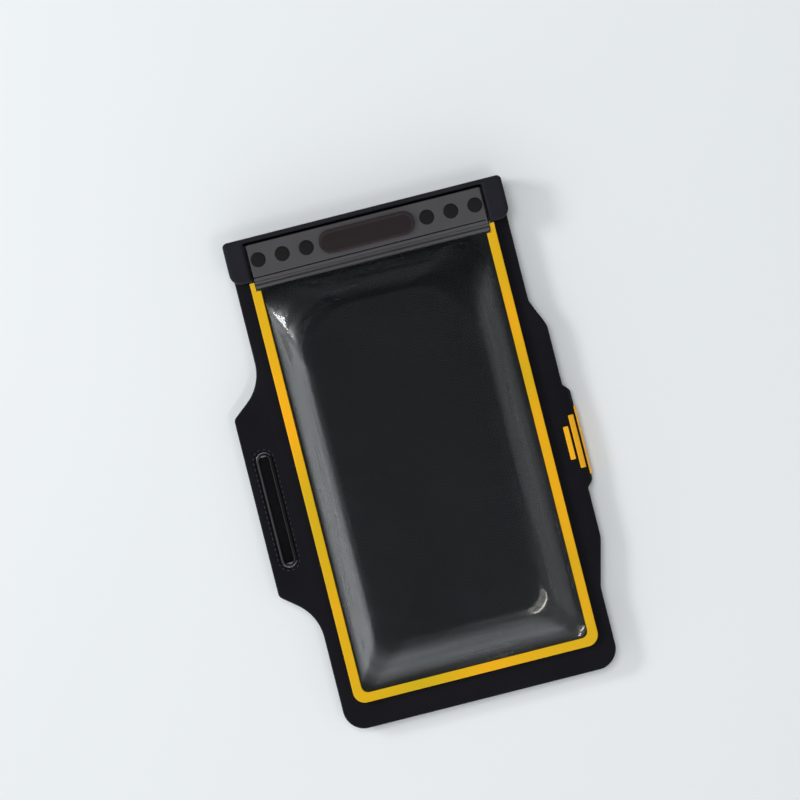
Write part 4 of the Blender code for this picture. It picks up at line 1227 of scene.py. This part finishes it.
def make_front_strip(strip_finish, magnet_finish):
    """The front closure strip, with a round pocket for each magnet, and the magnets in them."""
    strip = flat_plate(
        "front_strip", "seal_grey", strip_finish, strip_low, strip_high, (0.8 * MM,) * 4,
        0.35 * MM, ["front_seal_strip"], (60, 10, 6),
    )
    pockets, places = [], []
    for k in MAGNET_NUMBERS:
        low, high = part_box(f"front_magnet_{k}")
        place = ((low.x + high.x) / 2, (low.y + high.y) / 2)
        places.append(place)
        bottom = high.z - MAGNET_THICK - GAP
        pocket = disc(place, MAGNET_RADIUS + 0.18 * MM, bottom, high.z + 2 * MM, 0.1 * MM)
        pockets.append((pocket, True))
    cutter = make_piece("magnet_pockets", None, magnet_finish, pockets)
    cut_away(strip, cutter)
    for k, place in zip(MAGNET_NUMBERS, places):
        low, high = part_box(f"front_magnet_{k}")
        button = disc(place, MAGNET_RADIUS + 0.1 * MM, low.z, high.z - 0.02 * MM, 0.2 * MM, 0.08 * MM)
        make_piece(
            f"magnet_button_{k}", "magnet_cap", magnet_finish, [(button, True)], [f"front_magnet_{k}"]
        )


def make_seal_lip(finish):
    """The lip: one section carried across the pouch. The section has a ridge at the bottom, a
    groove, and a flat part with a fine line pressed along it. The ends are rounded."""
    height = lip_high.y - lip_low.y
    soft = 0.15 * MM
    body = LIP_RIDGE + LIP_GROOVE
    line = height - 1.5 * MM
    top, ridge, web = LIP_THICK, LIP_RIDGE, LIP_WEB
    pressed = top - 0.3 * MM
    section = np.array([
        (soft, 0), (height / 2, 0), (height - soft, 0), (height, soft), (height, top - soft),
        (height - soft, top), (line + 0.28 * MM, top), (line + 0.16 * MM, pressed),
        (line - 0.16 * MM, pressed), (line - 0.28 * MM, top), (body + soft, top),
        (body, top - soft), (body, web + soft), (body - soft, web), (ridge + soft, web),
        (ridge, web + soft), (ridge, top - 2 * soft), (ridge - 0.6 * soft, top - 0.6 * soft),
        (ridge - 2 * soft, top), (2 * soft, top), (0.6 * soft, top - 0.6 * soft),
        (0, top - 2 * soft), (0, soft),
    ])
    centre = np.array([height / 2, top / 2])
    edge = 0.3 * MM
    x = steps_between(lip_low.x, lip_high.x, 2.5 * MM, edge)
    inset = np.minimum(x - lip_low.x, lip_high.x - x)
    size = 0.75 + 0.25 * edge_round(inset, edge)
    size[[0, -1]] = 0
    spot = centre + (section[None] - centre) * size[:, None, None]
    spot_y = lip_low.y + spot[..., 0]
    spot_z = lip_low.z + spot[..., 1] + spot[..., 0] * CLOSURE_LIFT / height
    across = x[:, None] + np.zeros_like(spot_y)
    across[0] = across[1]
    across[-1] = across[-2]
    bar = np.stack([across, spot_y, spot_z], -1)
    make_piece("ridged_lip", "seal_grey", finish, [(bar, True)], ["seal_lip"], sharp=35)


def make_badge(finish):
    """The bare badge: a bar with round ends, a raised rim just inside its edge and a field that is
    crowned by a little."""
    radius = (badge_high.y - badge_low.y) / 2

    def profile(inset):
        """A bell for the rim, a straight step down behind it and a straight climb to the middle."""
        rim = bell(inset - 0.75 * MM, 0.45 * MM) * 0.03 * MM
        sunk = -0.06 * MM * np.clip((inset - 1.2 * MM) / (0.25 * MM), 0, 1)
        crown = 0.08 * MM * np.clip((inset - 1.45 * MM) / (radius - 1.45 * MM), 0, 1)
        return rim + sunk + crown

    flat_plate(
        "badge_bare", "badge_gloss", finish, badge_low, badge_high, (radius,) * 4, 0.3 * MM,
        ["badge_plate"], (60, 1, 22), profile,
    )


def hood_lines():
    """The lines that the hood is drawn between, each from the left flap's foot over the top to the
    right one's: its outer edge, the edge of its opening, its outer edge at the back, which starts
    on the middle of the foot, and the middle of its back. The last gives the outward direction."""
    outer_x, foot, top = hood_high.x, hood_low.y, hood_high.y
    side_low, side_high = foot + FLAP_RADIUS, top - HOOD_TOP_RADIUS
    foot_x = FLAP_RADIUS - outer_x
    top_x = HOOD_TOP_RADIUS - outer_x
    round_it = np.concatenate([
        arc((foot_x, side_low), FLAP_RADIUS, 270, 180, 16)[1:],
        straight((-outer_x, side_low), (-outer_x, side_high), 14)[1:],
        arc((top_x, side_high), HOOD_TOP_RADIUS, 180, 90, 9)[1:],
        straight((top_x, top), (0, top), 48)[1:],
    ])
    outer = np.concatenate([straight((-FLAP_INNER_X, foot), (foot_x, foot), 10), round_it])
    low_outer = np.concatenate([straight((0, foot), (foot_x, foot), 10), round_it])
    out = np.concatenate([
        np.tile([[0.0, -1.0]], (10, 1)), arc((0, 0), 1, 270, 180, 16)[1:],
        np.tile([[-1.0, 0.0]], (13, 1)), arc((0, 0), 1, 180, 90, 9)[1:],
        np.tile([[0.0, 1.0]], (47, 1)),
    ])
    turn_y = HOOD_OPENING_Y - HOOD_INNER_RADIUS
    turn_x = HOOD_INNER_RADIUS - FLAP_INNER_X
    inner = np.concatenate([
        straight((-FLAP_INNER_X, foot), (-FLAP_INNER_X, side_low), 25),
        straight((-FLAP_INNER_X, side_low), (-FLAP_INNER_X, turn_y), 14)[1:],
        arc((turn_x, turn_y), HOOD_INNER_RADIUS, 180, 90, 9)[1:],
        straight((turn_x, HOOD_OPENING_Y), (0, HOOD_OPENING_Y), 48)[1:],
    ])
    back = straight((0, foot + HOOD_BACK_FOLD), (0, HOOD_BACK_MIDDLE_Y), len(outer))
    return mirrored(outer), mirrored(inner), mirrored(low_outer), mirrored(back), mirrored(out)


def rolled(distance, reach, depth):
    """How far a rolled edge has dropped, that far inside it: a quarter of an oval."""
    inside = 1 - np.clip(distance / reach, 0, 1)
    return depth * (1 - np.sqrt(1 - inside ** 2))


def make_hood(finish):
    """The hood: one cloth that starts with a rolled edge at its opening, runs flat to the outer
    edge, rolls over it, goes down the side and folds again under the back as far as its middle.
    At the flaps' feet it is open where the carrier and the films pass. The cloth then gets its
    thickness inwards."""
    outer, inner, low_outer, back, out = hood_lines()
    top, bottom = hood_high.z, hood_low.z
    slit_low = panel_high.z - CARRIER_THICK - GAP
    slit_high = panel_high.z + 2 * GAP
    shares = (1 - np.cos(np.linspace(0, math.pi, 29))) / 2
    plan = inner[:, None] + (outer - inner)[:, None] * shares[None, :, None]
    from_outer = distance_to(outer, plan[..., 0], plan[..., 1], closed=False)
    from_inner = distance_to(inner, plan[..., 0], plan[..., 1], closed=False)
    drop = np.maximum(
        rolled(from_outer, HOOD_FOLD, HOOD_FOLD), rolled(from_inner, HOOD_ROLL, HOOD_ROLL_DEPTH)
    )
    front = np.concatenate([plan, (top - drop)[..., None]], -1)
    ones = np.ones((len(outer), 1))
    sections = [front[:, k] for k in range(front.shape[1])]
    for level in (strip_low.z, (strip_low.z + slit_high) / 2, slit_high):
        sections.append(np.hstack([outer, ones * level]))
    sections.append(np.hstack([low_outer, ones * slit_low]))
    for angle in np.linspace(0, math.pi / 2, 7):
        spot = low_outer - out * HOOD_BACK_FOLD * (1 - math.cos(angle))
        sections.append(np.hstack([spot, ones * (bottom + HOOD_BACK_FOLD * (1 - math.sin(angle)))]))
    start = low_outer - out * HOOD_BACK_FOLD
    for share in np.linspace(0, 1, 16)[1:]:
        sections.append(np.hstack([start + (back - start) * share, ones * bottom]))
    cloth = np.stack(sections, 1)
    x, y, z = cloth[..., 0], cloth[..., 1], cloth[..., 2]
    on_front = np.clip((z - (top - 2 * MM)) / (2 * MM), 0, 1)
    pucker = np.sin(TAU * x / (17 * MM)) * np.sin(TAU * (y - 88 * MM) / (11 * MM) + 0.7)
    cloth[..., 2] = z + on_front * 0.06 * MM * (pucker - 1)

    def cloth_there(centres):
        """Whether a face's centre is outside the slit at the foot, which is higher at the films."""
        at_foot = centres[:, 1] < hood_low.y + FLAP_RADIUS
        at_films = np.abs(centres[:, 0]) < film_high.x + GAP
        opening = np.where(at_films, strip_low.z, slit_high)
        in_slit = (centres[:, 2] > slit_low) & (centres[:, 2] < opening)
        return ~(at_foot & in_slit)

    hood = make_piece(
        "hood_cloth", "hood_fabric", finish, [(cloth, False)], ["top_hood"], closed=False,
        keep=cloth_there, sharp=60,
    )
    shell = hood.modifiers.new("thickness", "SOLIDIFY")
    shell.thickness = HOOD_WALL
    shell.offset = -1
    rounding = hood.modifiers.new("soft edges", "BEVEL")
    rounding.width = 0.22 * MM
    rounding.segments = 2
    rounding.limit_method = "ANGLE"
    rounding.angle_limit = math.radians(60)
    depth, wall = hood_high.y - hood_low.y, hood_high.z - hood_low.z
    flap = hood_high.x - FLAP_INNER_X
    lip = hood_high.y - HOOD_OPENING_Y
    width = 2 * hood_high.x
    front_area = 2 * flap * depth + lip * 2 * FLAP_INNER_X
    area = (front_area + (width + 2 * depth) * wall + width * depth) * HOOD_CORNERS_LEFT
    size = (width + 2 * (wall + flap), depth + wall + lip)
    area = min(area, size[0] * size[1])


def make_stitches(finish):
    """All the sewing: the ring round the slot, the box and cross on the tongue, the seam of the
    loop patch under the strap and the seam along the back of the hood."""
    ring = slot_ring(SLOT_SEAM_OFFSET, SLOT_SEAM_LONGER)
    ring = np.concatenate([ring, ring[:1]])
    on_cloth = np.column_stack([ring, np.full(len(ring), panel_high.z - 0.16 * MM)])
    seams = []
    for line in tongue_seam():
        flat = np.concatenate([straight(line[k], line[k + 1], 30) for k in range(len(line) - 1)])
        x, z = bend_round(flat[:, 0] - BEND_X, np.full(len(flat), CARRIER_THICK / 2 - 0.24 * MM))
        seams.append(np.stack([x, flat[:, 1], z], -1))
    patch = patch_seam()
    runs = [straight(patch[k], patch[k + 1], 40) for k in range(4)]
    under = np.concatenate([np.column_stack([run, np.full(len(run), 0.24 * MM)]) for run in runs])
    back_x, back_y = hood_high.x - 5 * MM, hood_low.y + 2 * MM
    row = straight((-back_x, back_y, hood_low.z), (back_x, back_y, hood_low.z), 60)
    up, down = (0, 0, 1), (0, 0, -1)
    for name, slot, paths, side, pitch, length, radius, height in (
        ("slot_stitches", "carrier_fabric", [on_cloth], up, 2.3, 1.5, 0.24, 0.05),
        ("tongue_stitches", "carrier_fabric", seams, down, 2.6, 2.0, 0.22, 0.0),
        ("patch_stitches", "elastic_webbing", [under], down, 2.6, 2.0, 0.22, 0.0),
        ("hood_stitches", "hood_fabric", [row], down, 2.8, 2.2, 0.22, 0.0),
    ):
        place_stitches(
            name, slot, finish, paths, side, pitch * MM, length * MM, radius * MM, height * MM
        )


def dress_hidden_nodes(strip_finish, magnet_finish):
    """The rear strip and its magnets, which lie between the films, keep their solids."""
    for name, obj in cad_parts.items():
        if name == "rear_seal_strip" or name.startswith("rear_magnet"):
            obj.data.materials.clear()
            obj.data.materials.append(strip_finish if name == "rear_seal_strip" else magnet_finish)


def make_camera():
    """The camera over the window, far enough back that the view is nearly parallel."""
    data = bpy.data.cameras.new("product_camera")
    data.sensor_width = SENSOR
    data.lens = SENSOR * VIEW_DISTANCE / VIEW_WIDTH
    data.clip_start = 0.05
    data.clip_end = 20
    camera = bpy.data.objects.new("product_camera", data)
    camera.location = (*VIEW_AIM, panel_high.z + VIEW_DISTANCE)
    camera.rotation_euler = (0, 0, VIEW_TURN)
    bpy.context.scene.collection.objects.link(camera)
    bpy.context.scene.camera = camera


def make_floor(finish):
    """The pale board that the pouch lies on."""
    shape = bmesh.new()
    bmesh.ops.create_grid(shape, x_segments=8, y_segments=8, size=6)
    mesh = bpy.data.meshes.new("studio_floor")
    shape.to_mesh(mesh)
    shape.free()
    mesh.materials.append(finish)
    floor = bpy.data.objects.new("studio_floor", mesh)
    bpy.context.scene.collection.objects.link(floor)


def soft_box(name, place, size, power, colour, mirrored_back=True):
    """A rectangular studio light that faces the middle of the pouch. Size is how high it stands and
    how wide it is. One that isn't mirrored back lights the pouch without a glint."""
    data = bpy.data.lights.new(name, "AREA")
    data.shape = "RECTANGLE"
    data.size, data.size_y = size
    data.energy = power
    data.color = linear(colour)[:3]
    light = bpy.data.objects.new(name, data)
    light.location = place
    aim = np.array(place) - np.array((0, 0, 0.01))
    yaw = math.atan2(aim[1], aim[0])
    light.rotation_euler = (0, math.atan2(math.hypot(aim[0], aim[1]), aim[2]), yaw)
    light.visible_camera = False
    light.visible_glossy = mirrored_back
    light.visible_transmission = mirrored_back
    bpy.context.scene.collection.objects.link(light)


def make_room():
    """The light of the room: dark straight above, so that flat glossy faces stay deep, and bright
    low down, most of all at the left and at the foot, which the film gives back as soft bands. The
    camera sees a plain pale wall in its place."""
    world = bpy.data.worlds.new("studio_room")
    world.use_nodes = True
    tree = world.node_tree
    background = tree.nodes["Background"]
    towards = add(tree, "SeparateXYZ", {0: add(tree, "TexCoord").outputs["Generated"]}).outputs
    inputs = {"Value": towards["Z"], "From Min": 0.94, "From Max": 0.05, "To Min": 0.07, "To Max": 1.0}
    low_down = add(tree, "MapRange", inputs, interpolation_type="SMOOTHSTEP").outputs["Result"]
    sideways = spread(tree, towards["X"], 1.4, 0.38, -1.0, 1.0)
    lengthways = spread(tree, towards["Y"], 0.62, 0.08, -0.05, 0.42)
    level = times(tree, times(tree, low_down, ROOM_LEVEL), times(tree, sideways, lengthways))
    seen = add(tree, "LightPath").outputs["Is Camera Ray"]
    strength = add(tree, "Mix", {0: seen, 2: level, 3: 0.85}, data_type="FLOAT").outputs[0]
    background.inputs["Color"].default_value = linear("#F4F7FA")
    tree.links.new(strength, background.inputs["Strength"])
    bpy.context.scene.world = world


def make_lights():
    """A broad light overhead, which isn't mirrored in the film, and two small soft boxes, which draw
    the glints at the film's corners. Their level and the room's are such that a colour shows about
    as written."""
    make_room()
    soft_box("overhead_fill", (-0.3, 0.45, 2.1), (1.0, 1.0), 20.4, "#F6F7F8", mirrored_back=False)
    soft_box("upper_left_box", (-1.23, 0.60, 0.79), (0.30, 0.44), 8.5, "#FFFFFF")
    soft_box("lower_right_box", (0.48, -0.58, 1.41), (0.06, 0.80), 3.2, "#FFFAF2")
    bpy.context.scene.view_settings.view_transform = "Standard"


def main():
    """Builds the scene: the camera, the sheets and plates of the pouch, its sewing and the light."""
    make_camera()
    jersey, webbing, thread = laminated_jersey(), elastic_webbing(), twisted_thread()
    grey, magnet = satin_grey(), plated_magnet()
    make_carrier(jersey)
    make_slot_rim(moulded_rubber())
    make_strap(webbing)
    make_patches(hook_nylon(), loop_pile())
    make_bars(reflective_transfer())
    make_rear_film(dark_film())
    make_clear_film(clear_film())
    make_colour_frame(yellow_film_painted_light())
    make_front_strip(grey, magnet)
    make_seal_lip(grey)
    make_badge(gloss_polycarbonate())
    make_hood(brushed_tricot())
    make_stitches(thread)
    dress_hidden_nodes(grey, magnet)
    make_floor(painted_board())
    make_lights()


main()
